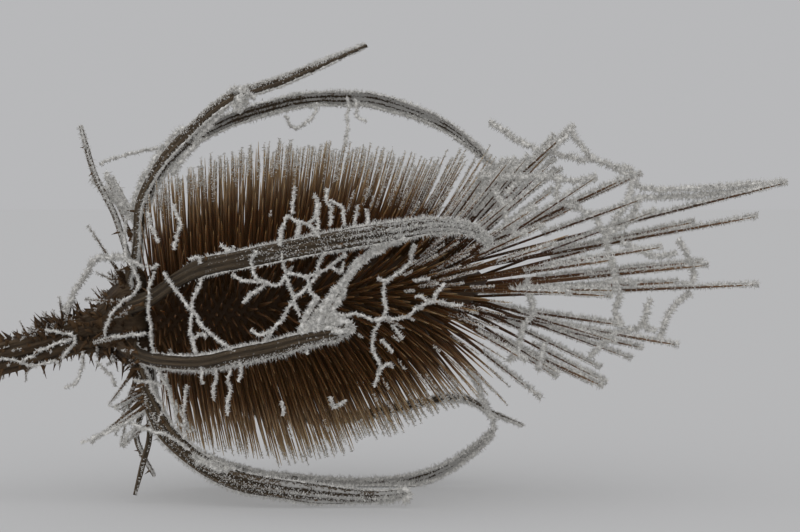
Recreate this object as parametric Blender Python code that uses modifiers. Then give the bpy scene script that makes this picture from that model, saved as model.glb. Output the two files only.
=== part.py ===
"""Teasel seed head, cut with a length of its stem and lying on a surface.

The head lies along +X with its long apical tuft forward and its cut stem behind.
It rests on three low points: two arched bracts and the cut end of the stem.
Everything is modelled round the head's own axis in a frame called head_frame:
local Z runs along the axis to the tip, local X is up and local Y is towards -Y.
A place there is given as (along, out, turn): millimetres along the axis,
millimetres out from it and degrees round it, 0 at the top and 90 towards -Y.
"""
import math
import random

import bmesh
import bpy
import numpy as np
from mathutils import Matrix, Vector

MM = 0.001
GAP = 0.3                       # clearance between neighbouring pieces

# Where the head lies
HEAD_TILT = 7.0                 # rise of the head's axis from the surface, degrees
HEAD_PLACE = (-6.0, -2.0, 22.7)  # middle of the collar above the resting surface

# Stem and collar
STEM_RADIUS = 2.2
STEM_ROUTE = ((-72.5, -12.3), (-59.0, -9.2), (-45.4, -6.5), (-32.0, -4.3), (-18.8, -2.4),
              (-12.7, -1.6), (-8.2, -0.7), (-5.1, -0.3), (-2.6, 0.0), (1.0, 0.0))  # along, up
COLLAR_PROFILE = ((-9.5, 2.2), (-6.0, 2.9), (-4.0, 4.2), (-2.6, 5.8), (-1.8, 6.5), (0.6, 6.6),
                  (1.0, 6.0))   # along, radius
STEM_STATIONS = 17
STEM_RIBS = 8
RIB_HEIGHT = 0.16
STEM_PRICKLES = 46
PRICKLES_RUN = (-58.0, -3.0)    # the stretch of the stem that bears prickles
PRICKLES_CROWD = 0.55           # under 1, they stand closer towards the collar
PRICKLE_REACH = (1.2, 2.0)
PRICKLE_ROOT = 0.5
PRICKLE_SINK = 0.7
TOOTH_ROOT = 0.6
# Each tooth of the collar: along, turn, then its tip's offset along and out, and its root's radius
COLLAR_TEETH = ((-1.2, 148, -5.6, 10.8, 5.0), (-1.2, 162, -4.5, 6.0, 5.6), (-1.2, 199, -4.8, 9.5, 6.0),
                (-1.4, 20, -5.5, 4.4, 5.8), (-1.4, 62, -4.5, 2.6, 6.2), (-1.4, 100, -4.0, 2.2, 6.2),
                (-1.4, 236, -5.0, 4.0, 5.8), (-1.4, 272, -4.6, 3.6, 5.8), (-1.4, 318, -4.6, 3.6, 5.8))

# Receptacle and its spines
CORE_PROFILE = ((45.0, 0.0), (42.0, 3.4), (37.0, 6.0), (28.0, 8.0), (18.0, 8.5), (10.0, 8.0),
                (4.0, 6.6), (1.3, 5.0), (1.3, 0.0))  # along, radius, tip to foot
CORE_SIDES = 18
SPINE_FIRST = 2.5               # where the lowest spines stand
SPINE_COUNT = 900
SPINE_ROOT = 0.56               # radius of a spine's three-sided root
SPINE_SINK = 1.1
SPINE_WOBBLE = 2.5              # degrees
BODY_UNEVEN = 0.06              # how far lengths vary, on the body and in the tuft
TUFT_UNEVEN = 0.22
TUFT_FROM = 35.0
SPINE_LENGTH = ((0, 12.0), (10, 12.4), (20, 12.7), (30, 12.8), (37, 15.0), (41, 19.5), (45, 25.0))
SPINE_LEAN = ((0, 3), (10, 6), (20, 12), (30, 22), (37, 35), (41, 50), (43.5, 65), (45, 82))
GOLDEN_TURN = 137.508
# Tips of the tuft's longest spines: along, out, turn
TUFT_TIPS = ((84.8, 7.9, -15), (83.0, 8.0, -49), (80.6, 4.8, -39), (78.7, 5.6, 147), (72.8, 2.5, 126),
             (67.4, 12.0, 155), (63.8, 12.1, -161), (57.3, 15.9, 158), (56.9, 16.5, -159),
             (57.9, 18.3, 9), (66.9, 13.6, -36), (65.0, 9.9, 37), (73.2, 6.2, -103),
             (56.3, 14.2, -25), (63.2, 10.9, 14), (68.0, 5.5, 180), (63.5, 8.3, 151), (60.0, 13.0, 85),
             (66.5, 8.5, 78), (70.0, 9.0, 245), (61.0, 14.5, 262), (58.5, 15.5, 300), (64.5, 11.5, 112))

# Involucre: each bract's midline as (along, out, turn), with its widths at root, middle and tip
BRACTS = {
    "bract_top_front": dict(
        root=34, width=(2.6, 1.7, 0.9), prickles=7,
        route=((0.8, 10.6, 33), (1.4, 12.8, 33), (2.6, 17.8, 30), (5.9, 22.6, 29), (9.8, 25.6, 25),
               (15.3, 28.2, 17), (22.0, 28.8, 2), (32.9, 33.4, -14))),
    "bract_top_back": dict(
        root=-24, width=(2.6, 1.7, 1.0), prickles=8,
        route=((-0.6, 13.6, -17), (0.0, 16.7, -14), (3.0, 20.4, -8), (9.3, 23.9, -5), (15.7, 25.5, -7),
               (23.6, 26.7, -11), (28.8, 26.6, -13), (34.0, 25.9, -16), (41.5, 22.6, -21),
               (46.0, 18.6, -25), (48.5, 14.8, -28), (48.9, 12.6, -29))),
    "bract_front_upper": dict(
        root=70, width=(2.6, 2.3, 1.5), prickles=3,
        route=((2.6, 10.2, 70), (6.3, 13.6, 67), (9.8, 17.4, 68), (15.0, 20.5, 70), (22.5, 22.3, 70),
               (28.5, 23.4, 70), (34.6, 22.8, 69), (39.4, 20.8, 67), (43.6, 19.3, 69),
               (45.4, 17.6, 73))),
    "bract_front_lower": dict(
        root=117, width=(2.6, 2.0, 1.6), prickles=6,
        route=((1.3, 10.6, 114), (3.8, 13.9, 110), (8.5, 17.7, 107), (12.4, 19.6, 104),
               (17.3, 20.7, 102), (21.0, 21.3, 100), (25.3, 21.2, 99), (27.5, 20.6, 97))),
    "bract_bottom_front": dict(
        root=146, width=(2.6, 2.0, 1.2), prickles=4,
        route=((0.7, 13.1, 148), (2.5, 16.9, 148), (5.8, 20.7, 151), (10.8, 23.8, 155),
               (15.8, 25.8, 156), (21.8, 27.3, 158), (28.0, 28.2, 158), (31.8, 28.2, 158))),
    "bract_bottom_back": dict(
        root=-147, width=(2.6, 1.9, 0.9), prickles=6,
        route=((-0.9, 11.6, -149), (-0.3, 16.4, -151), (3.5, 21.9, -153), (10.5, 25.1, -157),
               (18.3, 26.7, -158), (25.8, 27.7, -159), (31.4, 27.7, -159), (36.6, 26.8, -158),
               (41.6, 24.0, -158), (43.8, 21.9, -159))),
    "bract_back_lower": dict(
        root=-124, width=(2.6, 1.7, 0.8), prickles=6,
        route=((0.5, 11.0, -126), (4.0, 17.5, -128), (12.0, 23.0, -131), (22.0, 25.0, -134),
               (31.0, 23.4, -136), (39.4, 21.4, -139), (43.4, 21.8, -147), (47.6, 22.8, -154))),
    "bract_back_upper": dict(
        root=-78, width=(2.6, 1.8, 0.9), prickles=6,
        route=((0.5, 11.0, -77), (3.0, 17.0, -77), (9.0, 22.5, -78), (18.0, 25.0, -80),
               (28.0, 24.6, -83), (37.0, 22.0, -86), (43.5, 18.6, -88))),
    "short_bract_top": dict(
        root=11, width=(1.6, 1.2, 0.8), prickles=4,
        route=((-1.3, 13.9, 12), (-2.2, 17.0, 12), (-3.2, 20.4, 12), (-4.0, 26.3, 11))),
    "short_bract_top_back": dict(
        root=-49, width=(1.6, 1.1, 0.7), prickles=3,
        route=((0.0, 14.4, -39), (-0.8, 17.2, -36), (-3.0, 22.6, -32))),
    "short_bract_bottom": dict(
        root=168, width=(1.6, 1.1, 0.7), prickles=2,
        route=((-0.3, 14.4, 164), (-1.6, 18.5, 164), (-3.0, 22.2, 165))),
    "short_bract_bottom_back": dict(
        root=-170, width=(1.6, 1.2, 0.8), prickles=3,
        route=((-1.6, 11.5, -169), (-3.0, 15.0, -168), (-2.6, 18.1, -167), (-1.6, 21.2, -166))),
    "short_bract_back": dict(
        root=-102, width=(1.6, 1.1, 0.7), prickles=3,
        route=((-0.2, 11.0, -104), (-1.0, 16.0, -105), (-3.0, 20.5, -106))),
}
BRACT_ROOT = ((-0.5, 7.15), (-0.45, 8.0))   # along, out: every midline leaves the collar's rim here
BRACT_THICKNESS = 0.85
TIP_THICKNESS = 0.7
BRACT_CUP = 0.2                 # how far the margins turn in, as a share of the width
MARGIN = 0.72                   # thickness of the margins, as a share of the midrib's
INNER_WIDTH = 0.76              # width of the hollow side, as a share of the whole
ROOT_RUN = 0.16                 # share of the length over which the root narrows
TIP_RUN = 0.75                  # where the tip begins to narrow
BRACT_PRICKLE_REACH = (1.9, 2.6)
BRACT_PRICKLE_ROOT = 0.42
LONG_STATIONS = 19
SHORT_STATIONS = 9
LONG_FROM = 30.0                # a midline longer than this takes the long bracts' stations
TRIMMED = ("stem", "bract_bottom_front", "bract_bottom_back")
SEED = 7


def clear_scene():
    """Start from an empty scene."""
    for item in list(bpy.data.objects):
        bpy.data.objects.remove(item, do_unlink=True)


def collection(name):
    """A new collection in the scene."""
    made = bpy.data.collections.new(name)
    bpy.context.scene.collection.children.link(made)
    return made


def material(name, colour, roughness):
    """A dull plant finish."""
    made = bpy.data.materials.new(name)
    made.use_nodes = True
    shader = made.node_tree.nodes["Principled BSDF"]
    shader.inputs["Base Color"].default_value = (*colour, 1)
    shader.inputs["Roughness"].default_value = roughness
    shader.inputs["Metallic"].default_value = 0
    return made


def place(along, out, turn):
    """A point of the head's frame, in metres."""
    angle = math.radians(turn)
    return Vector((out * math.cos(angle), out * math.sin(angle), along)) * MM


def eased(pairs, at):
    """The value of a rule given as (place, value) pairs, straight between them."""
    return float(np.interp(at, [p[0] for p in pairs], [p[1] for p in pairs]))


def smooth_route(points, count):
    """A smooth curve through the points, as evenly spaced stations."""
    ends = [points[0] * 2 - points[1], *points, points[-1] * 2 - points[-2]]
    fine = []
    for a, b, c, d in zip(ends, ends[1:], ends[2:], ends[3:]):
        for step in range(12):
            t = step / 12
            fine.append(0.5 * (2 * b + (c - a) * t + (2 * a - 5 * b + 4 * c - d) * t ** 2
                               + (3 * b - a - 3 * c + d) * t ** 3))
    fine.append(points[-1])
    run = np.concatenate([[0], np.cumsum([(q - p).length for p, q in zip(fine, fine[1:])])])
    axes = np.array(fine)
    wanted = np.linspace(0, run[-1], count)
    return [Vector([np.interp(at, run, axes[:, k]) for k in range(3)]) for at in wanted]


def tangents(route):
    """The direction of the route at each station."""
    ahead = route[1:] + [route[-1] * 2 - route[-2]]
    behind = [route[0] * 2 - route[1]] + route[:-1]
    return [(q - p).normalized() for p, q in zip(behind, ahead)]


def leaf_axes(point, along):
    """A bract's outward and sideways directions at a point of its midline."""
    radial = Vector((point.x, point.y, 0)).normalized()
    axis = Vector((0, 0, 1))
    outward = radial * along.dot(axis) - axis * along.dot(radial)
    sideways = along.cross(outward).normalized()
    return sideways.cross(along).normalized(), sideways


def loft(rings):
    """A closed skin drawn through rings that have the same number of corners."""
    bm = bmesh.new()
    first = [bm.verts.new(corner) for corner in rings[0]]
    edges = [bm.edges.new(pair) for pair in zip(first, first[1:] + first[:1])]
    bmesh.ops.contextual_create(bm, geom=edges)
    front = first
    for ring in rings[1:]:
        grown = bmesh.ops.extrude_edge_only(bm, edges=edges)["geom"]
        moved = [item for item in grown if isinstance(item, bmesh.types.BMVert)]
        order = {vert: next(e.other_vert(vert) for e in vert.link_edges if e.other_vert(vert) in front)
                 for vert in moved}
        place_of = dict(zip(front, ring))
        for vert in moved:
            vert.co = place_of[order[vert]]
        back = {old: new for new, old in order.items()}
        front = [back[old] for old in front]
        edges = [bm.edges.get(pair) for pair in zip(front, front[1:] + front[:1])]
    bmesh.ops.contextual_create(bm, geom=edges)
    bmesh.ops.recalc_face_normals(bm, faces=bm.faces)
    return bm


def piece(name, bm, finish, where, head_frame):
    """Put a bmesh into the scene as a named object of the head's frame."""
    mesh = bpy.data.meshes.new(name)
    bm.to_mesh(mesh)
    bm.free()
    mesh.materials.append(finish)
    item = bpy.data.objects.new(name, mesh)
    where.objects.link(item)
    item.parent = head_frame
    return item


def cone_mesh():
    """One three-sided point of unit height and root radius, shared by every spine and prickle."""
    bm = bmesh.new()
    bmesh.ops.create_cone(bm, cap_ends=True, segments=3, radius1=1, radius2=0, depth=1,
                          matrix=Matrix.Translation((0, 0, 0.5)))
    bmesh.ops.remove_doubles(bm, verts=bm.verts, dist=1e-5)
    mesh = bpy.data.meshes.new("point")
    bm.to_mesh(mesh)
    bm.free()
    return mesh


def point_at(mesh, root, tip, radius, spin, where, head_frame):
    """A point from root to tip, turned round its own length by spin."""
    item = bpy.data.objects.new("point", mesh)
    run = tip - root
    turn = run.to_track_quat("Z", "X").to_matrix().to_4x4() @ Matrix.Rotation(spin, 4, "Z")
    size = Matrix.Diagonal((radius * MM, radius * MM, run.length, 1))
    where.objects.link(item)
    item.parent = head_frame
    item.matrix_local = Matrix.Translation(root) @ turn @ size
    return item


def fuse(item, repeats):
    """Join a collection's points to what they grow from, and remove the loose ones."""
    joining = item.modifiers.new("join", "BOOLEAN")
    joining.operation = "UNION"
    joining.operand_type = "COLLECTION"
    joining.collection = repeats
    joining.solver = "MANIFOLD"
    bpy.context.view_layer.update()
    graph = bpy.context.evaluated_depsgraph_get()
    mesh = bpy.data.meshes.new_from_object(item.evaluated_get(graph))
    item.modifiers.clear()
    old, item.data = item.data, mesh
    mesh.name = item.name
    bpy.data.meshes.remove(old)
    for loose in list(repeats.objects):
        bpy.data.objects.remove(loose, do_unlink=True)
    bpy.data.collections.remove(repeats)


def leaf_ring(centre, along, width, thickness):
    """A bract's section: keeled outside, hollowed inside, blunt at both margins."""
    outward, sideways = leaf_axes(centre, along)
    edge = 0.5 * width
    cup = BRACT_CUP * width
    inner = edge * INNER_WIDTH
    margin = MARGIN * thickness
    corners = ((-edge, -cup), (0, 0.5 * thickness), (edge, -cup),
               (inner, -cup - margin), (0, -0.5 * thickness), (-inner, -cup - margin))
    return [centre + (sideways * across + outward * out) * MM for across, out in corners]


def bract_corners(shape):
    """A bract's midline from the collar's rim out."""
    rim = [place(along, out, shape["root"]) for along, out in BRACT_ROOT]
    return rim + [place(*corner) for corner in shape["route"]]


def bract_stations(shape):
    """Evenly spaced stations of a bract's midline."""
    corners = bract_corners(shape)
    rough = sum((q - p).length for p, q in zip(corners, corners[1:])) / MM
    return smooth_route(corners, LONG_STATIONS if rough > LONG_FROM else SHORT_STATIONS)


def make_bract(name, shape, finish, cone, where, head_frame):
    """A strap of a leaf, narrowing from its clasping root, with prickles along its outer side."""
    draw = random.Random(name)
    route = bract_stations(shape)
    ways = tangents(route)
    root, middle, tip = shape["width"]
    widths = ((0, root), (ROOT_RUN, middle), (TIP_RUN, middle), (1, tip))
    thicks = ((0, BRACT_THICKNESS), (TIP_RUN, BRACT_THICKNESS), (1, TIP_THICKNESS))
    last = len(route) - 1
    rings = [leaf_ring(centre, way, eased(widths, k / last), eased(thicks, k / last))
             for k, (centre, way) in enumerate(zip(route, ways))]
    item = piece(name, loft(rings), finish, where, head_frame)
    repeats = collection(name + "_prickles")
    for k in range(shape["prickles"]):
        at = 1 + round((last - 3) * (k + 0.5) / shape["prickles"])
        outward, sideways = leaf_axes(route[at], ways[at])
        side = 1 if k % 2 else -1
        if name in TRIMMED:
            way = sideways * side + outward * 0.1
        else:
            way = outward * 0.9 + sideways * side * 0.5
        foot = route[at] + sideways * side * 0.2 * middle * MM
        tip = foot + way.normalized() * draw.uniform(*BRACT_PRICKLE_REACH) * MM
        spin = draw.uniform(0, math.tau)
        point_at(cone, foot, tip, BRACT_PRICKLE_ROOT, spin, repeats, head_frame)
    fuse(item, repeats)
    return item


def stem_centre(along):
    """A point of the stem's centre line."""
    return Vector((eased(STEM_ROUTE, along), 0, along)) * MM


def stem_stations():
    """The stem's centre line and radius, from its cut end to the top of the collar."""
    flare = COLLAR_PROFILE[0][0]
    route = smooth_route([Vector((up, 0, along)) * MM for along, up in STEM_ROUTE], STEM_STATIONS)
    stations = [(point, STEM_RADIUS) for point in route if point.z < (flare - 1) * MM]
    return stations + [(stem_centre(along), radius) for along, radius in COLLAR_PROFILE]


def stem_ring(centre, radius, way):
    """A ribbed section across the stem."""
    side = Vector((0, 1, 0))
    up = side.cross(way).normalized()
    ring = []
    for k in range(2 * STEM_RIBS):
        angle = math.pi * k / STEM_RIBS
        reach = (radius + (RIB_HEIGHT if k % 2 else -RIB_HEIGHT)) * MM
        ring.append(centre + (up * math.cos(angle) + side * math.sin(angle)) * reach)
    return ring


def make_stem(finish, cone, where, head_frame):
    """The ribbed, prickly stem and the collar that its bracts grow from."""
    draw = random.Random(SEED)
    stations = stem_stations()
    ways = tangents([point for point, radius in stations])
    rings = [stem_ring(centre, radius, way) for (centre, radius), way in zip(stations, ways)]
    item = piece("stem", loft(rings), finish, where, head_frame)
    repeats = collection("stem_prickles")
    start, end = PRICKLES_RUN
    for k in range(STEM_PRICKLES):
        share = ((k + draw.uniform(0.2, 0.8)) / STEM_PRICKLES) ** PRICKLES_CROWD
        along = start + (end - start) * share
        radius = STEM_RADIUS if along < COLLAR_PROFILE[0][0] else eased(COLLAR_PROFILE, along)
        out = place(0, 1, GOLDEN_TURN * k + draw.uniform(-15, 15))
        droop = Vector((0, 0, draw.uniform(-1.2, 0.5))) * MM
        reach = draw.uniform(*PRICKLE_REACH) + 0.9 * share
        foot = stem_centre(along) + out * (radius - PRICKLE_SINK)
        tip = stem_centre(along) + out * (radius + reach) + droop
        point_at(cone, foot, tip, PRICKLE_ROOT, draw.uniform(0, math.tau), repeats, head_frame)
    for along, turn, tip_along, tip_out, root in COLLAR_TEETH:
        foot = place(along, root, turn)
        tip = place(along + tip_along, root + tip_out, turn)
        point_at(cone, foot, tip, TOOTH_ROOT, 0, repeats, head_frame)
    fuse(item, repeats)
    return item


def core_radius(along):
    """The receptacle's radius at a place along the axis."""
    return eased(CORE_PROFILE[:-1][::-1], along)


def make_core(finish, where, head_frame):
    """The receptacle, turned round the head's axis."""
    bm = bmesh.new()
    corners = [bm.verts.new((radius * MM, 0, along * MM)) for along, radius in CORE_PROFILE]
    for pair in zip(corners, corners[1:]):
        bm.edges.new(pair)
    item = piece("seed_head", bm, finish, where, head_frame)
    turned = item.modifiers.new("turn", "SCREW")
    turned.axis = "Z"
    turned.steps = turned.render_steps = CORE_SIDES
    turned.use_merge_vertices = True
    turned.merge_threshold = 0.0001
    return item


def spine_is_clear(foot, tip, bracts):
    """Whether a spine keeps off every bract."""
    line = np.linspace(np.array(foot), np.array(tip), 16)[4:]
    apart = np.linalg.norm(line[:, None, :] - bracts[None, :, :3], axis=2)
    return bool((apart > bracts[None, :, 3]).all())


def spine_tip(foot, turn, lean, length, bracts):
    """Where a spine ends: it leans further up, or is a little shorter, beside a bract."""
    for share in (1.0, 0.93, 0.86, 0.79, 0.72, 0.65, 0.58, 0.5, 0.4, 0.3):
        for more in (0, 3, -3, 6, -6, 9, 12):
            angle = math.radians(min(lean + more, 89))
            way = place(math.sin(angle), math.cos(angle), turn) / MM
            tip = foot + way * length * share * MM
            if spine_is_clear(foot, tip, bracts):
                return tip
    return None


def make_seed_head(finish, cone, bracts, where, head_frame):
    """The receptacle set all over with stiff spines, longest in the tuft at its tip."""
    draw = random.Random(SEED)
    item = make_core(finish, where, head_frame)
    repeats = collection("spines")
    last = CORE_PROFILE[0][0] - 0.4
    marks = np.linspace(SPINE_FIRST, last, 200)
    area = np.concatenate([[0], np.cumsum([core_radius(at) + 0.9 for at in marks[1:]])])
    for k in range(SPINE_COUNT):
        along = float(np.interp((k + 0.5) / SPINE_COUNT * area[-1], area, marks))
        turn = k * GOLDEN_TURN
        lean = eased(SPINE_LEAN, along) + draw.uniform(-SPINE_WOBBLE, SPINE_WOBBLE)
        uneven = BODY_UNEVEN if along < TUFT_FROM else TUFT_UNEVEN
        length = eased(SPINE_LENGTH, along) * draw.uniform(1 - uneven, 1 + uneven * 0.5)
        angle = math.radians(lean)
        sunk = place(along - SPINE_SINK * math.sin(angle),
                     max(core_radius(along) - SPINE_SINK * math.cos(angle), 0.1), turn)
        tip = spine_tip(sunk, turn, lean, length + SPINE_SINK, bracts)
        if tip:
            point_at(cone, sunk, tip, SPINE_ROOT, math.radians(turn), repeats, head_frame)
    for along, out, turn in TUFT_TIPS:
        from_along = 43.2 - 0.28 * out
        sunk = place(from_along - 1.5, core_radius(from_along) * 0.55, turn)
        tip = place(along, out, turn)
        if spine_is_clear(sunk, tip, bracts):
            point_at(cone, sunk, tip, SPINE_ROOT + 0.12, math.radians(turn), repeats, head_frame)
    fuse(item, repeats)
    return item


def trim_to_ground(items, where):
    """Cut what dips below the resting surface to a small flat."""
    bpy.ops.mesh.primitive_cube_add(size=1, location=(0, 0, -0.02))
    ground = bpy.context.object
    ground.name = "ground_cut"
    ground.scale = (0.3, 0.2, 0.04)
    ground.hide_render = True
    ground.display_type = "WIRE"
    for old in list(ground.users_collection):
        old.objects.unlink(ground)
    where.objects.link(ground)
    for item in items:
        cut = item.modifiers.new("ground", "BOOLEAN")
        cut.operation = "DIFFERENCE"
        cut.object = ground
        cut.solver = "EXACT"


def build():
    """Model the whole teasel head."""
    clear_scene()
    parts = collection("teasel_seed_head")
    cutters = collection("cutters")
    head_frame = bpy.data.objects.new("head_frame", None)
    parts.objects.link(head_frame)
    tilt = math.radians(HEAD_TILT)
    turn = Matrix(((-math.sin(tilt), 0, math.cos(tilt)), (0, -1, 0), (math.cos(tilt), 0, math.sin(tilt))))
    head_frame.matrix_world = Matrix.Translation(Vector(HEAD_PLACE) * MM) @ turn.to_4x4()

    spine_brown = material("spine_brown", (0.17, 0.105, 0.055), 0.7)
    bract_brown = material("bract_brown", (0.16, 0.12, 0.085), 0.8)
    stem_brown = material("stem_brown", (0.15, 0.105, 0.06), 0.8)

    cone = cone_mesh()
    made = {"stem": make_stem(stem_brown, cone, parts, head_frame)}
    keep_off = []
    for name, shape in BRACTS.items():
        made[name] = make_bract(name, shape, bract_brown, cone, parts, head_frame)
        half = (0.5 * shape["width"][1] + GAP + 0.75) * MM
        keep_off += [(*point, half) for point in smooth_route(bract_corners(shape), 60)]
    made["seed_head"] = make_seed_head(spine_brown, cone, np.array(keep_off), parts, head_frame)
    trim_to_ground([made[name] for name in TRIMMED], cutters)


build()
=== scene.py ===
import math
import random

import bmesh
import bpy
import numpy as np
from mathutils import Matrix, Vector


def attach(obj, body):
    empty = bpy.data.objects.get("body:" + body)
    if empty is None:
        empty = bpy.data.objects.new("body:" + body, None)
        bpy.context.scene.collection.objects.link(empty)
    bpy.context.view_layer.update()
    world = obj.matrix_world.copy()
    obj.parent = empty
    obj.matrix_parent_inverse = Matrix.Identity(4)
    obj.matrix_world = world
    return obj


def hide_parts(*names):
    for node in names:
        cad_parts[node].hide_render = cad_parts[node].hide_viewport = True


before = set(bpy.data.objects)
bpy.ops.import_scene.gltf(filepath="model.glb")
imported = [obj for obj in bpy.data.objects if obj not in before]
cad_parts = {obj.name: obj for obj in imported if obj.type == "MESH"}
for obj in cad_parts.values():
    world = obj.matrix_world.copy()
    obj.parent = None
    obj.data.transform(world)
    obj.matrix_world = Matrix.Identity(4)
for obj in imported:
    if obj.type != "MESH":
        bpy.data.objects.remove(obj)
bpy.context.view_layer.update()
mm = 0.001
goldenTurn = 137.508    # degrees from one spine or prickle to the next
floorGap = 0.02         # mm, kept free under all but the stem
tipGap = 0.08           # mm, a crystal or prickle that would reach lower points up

# Where the head's axis lies. A place on the head is along the axis from the collar, out from the
# axis, both in mm, and a turn round it in degrees, 0 at the top and 90 towards the camera.
head = {
    "place": (-6.0, -2.0, 22.7),   # the collar's middle
    "tilt": 7.0,
}
cameraView = {
    "lens": 100,
    "sensor": 36,
    "distance": 286.7,
    "rise": 2.0,                   # degrees above level
    "aim": (33.3, 0.0, 7.24),      # from the collar's middle
    "photoSize": (800, 532),
    "clip": (0.01, 20),            # metres
}

tilt = math.radians(head["tilt"])
headTurn = Matrix(((-math.sin(tilt), 0, math.cos(tilt)),
                   (0, -1, 0),
                   (math.cos(tilt), 0, math.sin(tilt))))
headPlace = Vector(head["place"]) * mm
axisWay = headTurn @ Vector((0, 0, 1))


def headPoint(along, out, turn):
    angle = math.radians(turn)
    return headPlace + headTurn @ (Vector((out * math.cos(angle), out * math.sin(angle), along)) * mm)


def headWay(along, out, turn):
    return headPoint(along, out, turn) - headPlace


def onAxis(point):
    # back from a point to along, up and towards the camera, in mm
    local = headTurn.transposed() @ (point - headPlace)
    return local.z / mm, local.x / mm, local.y / mm


def eased(pairs, at):
    return np.interp(at, [pair[0] for pair in pairs], [pair[1] for pair in pairs])


def unit(rows):
    return rows / np.maximum(np.linalg.norm(rows, axis=-1, keepdims=True), 1e-12)


def ramp(value, start, end):
    return np.clip((value - start) / (end - start), 0, 1)


def wavering(rng, share, knots, low=-1, high=1):
    # a value that drifts along a piece
    return np.interp(share, np.linspace(0, 1, knots), rng.uniform(low, high, knots))


def routeRun(route):
    # how far along the route each of its points lies
    return np.concatenate([[0], np.cumsum(np.linalg.norm(np.diff(route, axis=0), axis=1))])


def readAlong(rows, run, wanted):
    return np.stack([np.interp(wanted, run, rows[:, k]) for k in range(3)], axis=1)


def evenly(route, spacing):
    # the same route, with its points a spacing in mm apart
    run = routeRun(route)
    wanted = np.linspace(0, run[-1], max(3, round(run[-1] / (spacing * mm)) + 1))
    return readAlong(route, run, wanted)


def smoothRoute(corners, spacing):
    # an even walk along a smooth curve through the corners
    corners = [np.array(corner) for corner in corners]
    ends = [2 * corners[0] - corners[1], *corners, 2 * corners[-1] - corners[-2]]
    steps = np.linspace(0, 1, 16, endpoint=False)[:, None]
    parts = [0.5 * (2 * b + (c - a) * steps + (2 * a - 5 * b + 4 * c - d) * steps ** 2
                    + (3 * b - a - 3 * c + d) * steps ** 3)
             for a, b, c, d in zip(ends, ends[1:], ends[2:], ends[3:])]
    return evenly(np.vstack([*parts, corners[-1][None]]), spacing)


def routeWays(route):
    return unit(np.gradient(route, axis=0))


# Materials

def fill(tree, node, inputs):
    # a node's inputs, as values or as sockets to link
    for key, value in inputs.items():
        if isinstance(value, bpy.types.NodeSocket):
            tree.links.new(value, node.inputs[key])
        else:
            node.inputs[key].default_value = value


def addNode(tree, kind, inputs, **settings):
    made = tree.nodes.new(kind)
    for key, value in settings.items():
        setattr(made, key, value)
    fill(tree, made, inputs)
    return made


def addNoise(tree, where, scale, detail, roughness=0.5):
    made = addNode(tree, "ShaderNodeTexNoise",
                   {"Vector": where, "Scale": scale, "Detail": detail, "Roughness": roughness})
    return made.outputs["Fac"]


def addMath(tree, operation, *values):
    return addNode(tree, "ShaderNodeMath", dict(enumerate(values)), operation=operation).outputs[0]


def addRange(tree, value, start, end, low=0.0, high=1.0):
    # a value between start and end becomes one between low and high
    made = addNode(tree, "ShaderNodeMapRange",
                   {"Value": value, "From Min": start, "From Max": end, "To Min": low, "To Max": high})
    return made.outputs[0]


def addMix(tree, factor, first, second, blend="MIX"):
    made = addNode(tree, "ShaderNodeMix", {"Factor": factor, 6: first, 7: second},
                   data_type="RGBA", blend_type=blend)
    return made.outputs[2]


def addScale(tree, colour, factor):
    made = addNode(tree, "ShaderNodeVectorMath", {0: colour, "Scale": factor}, operation="SCALE")
    return made.outputs[0]


def attribute(tree, name):
    return addNode(tree, "ShaderNodeAttribute", {}, attribute_name=name).outputs["Fac"]


def newGroup(name, inputs, outputs):
    group = bpy.data.node_groups.new(name, "ShaderNodeTree")
    for label, kind, value in inputs:
        socket = group.interface.new_socket(label, in_out="INPUT", socket_type=kind)
        if value is not None:
            socket.default_value = value
    for label, kind in outputs:
        group.interface.new_socket(label, in_out="OUTPUT", socket_type=kind)
    return group, group.nodes.new("NodeGroupInput"), group.nodes.new("NodeGroupOutput")


grainForm = {
    "blotches": 0.22,           # their scale beside the streaks'
    "contrast": (0.72, 1.25),   # from the dark colour to the light one
}
rimeForm = {
    "patches": 320.0,
    "edge": (0.42, 0.58),       # from where no grain shows to full rime
}


def makeGrainGroup():
    # dry plant fibre: streaks that run with the piece, blotched along its length
    group, given, result = newGroup(
        "plantGrain",
        [("Along", "NodeSocketFloat", 0), ("Across", "NodeSocketFloat", 0), ("Seed", "NodeSocketFloat", 0),
         ("Dark", "NodeSocketColor", (0.05, 0.03, 0.02, 1)),
         ("Light", "NodeSocketColor", (0.2, 0.15, 0.1, 1)), ("Streaks", "NodeSocketFloat", 9.0)],
        [("Color", "NodeSocketColor"), ("Height", "NodeSocketFloat")])
    across = addMath(group, "MULTIPLY", given.outputs["Across"], given.outputs["Streaks"])
    fibre = addNode(group, "ShaderNodeCombineXYZ",
                    {"X": across, "Y": given.outputs["Along"], "Z": given.outputs["Seed"]}).outputs[0]
    streak = addNoise(group, fibre, 1.0, 4, 0.6)
    blotch = addNoise(group, fibre, grainForm["blotches"], 3)
    spread = addRange(group, addMath(group, "ADD", streak, blotch), *grainForm["contrast"])
    fill(group, result, {"Color": addMix(group, spread, given.outputs["Dark"], given.outputs["Light"]),
                         "Height": streak})
    return group


def makeRimeGroup():
    # a dusting of rime: fine grains, thicker in patches
    group, given, result = newGroup(
        "rimeDust",
        [("Amount", "NodeSocketFloat", 0.5), ("Grain", "NodeSocketFloat", 3500.0)],
        [("Mask", "NodeSocketFloat")])
    where = addNode(group, "ShaderNodeTexCoord", {}).outputs["Object"]
    grains = addNoise(group, where, given.outputs["Grain"], 2)
    patches = addNoise(group, where, rimeForm["patches"], 3)
    level = addMath(group, "MULTIPLY_ADD", patches, given.outputs["Amount"], -0.5)
    above = addMath(group, "ADD", level, grains)
    fill(group, result, {"Mask": addRange(group, above, *rimeForm["edge"])})
    return group


grainGroup = makeGrainGroup()
rimeGroup = makeRimeGroup()


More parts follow.
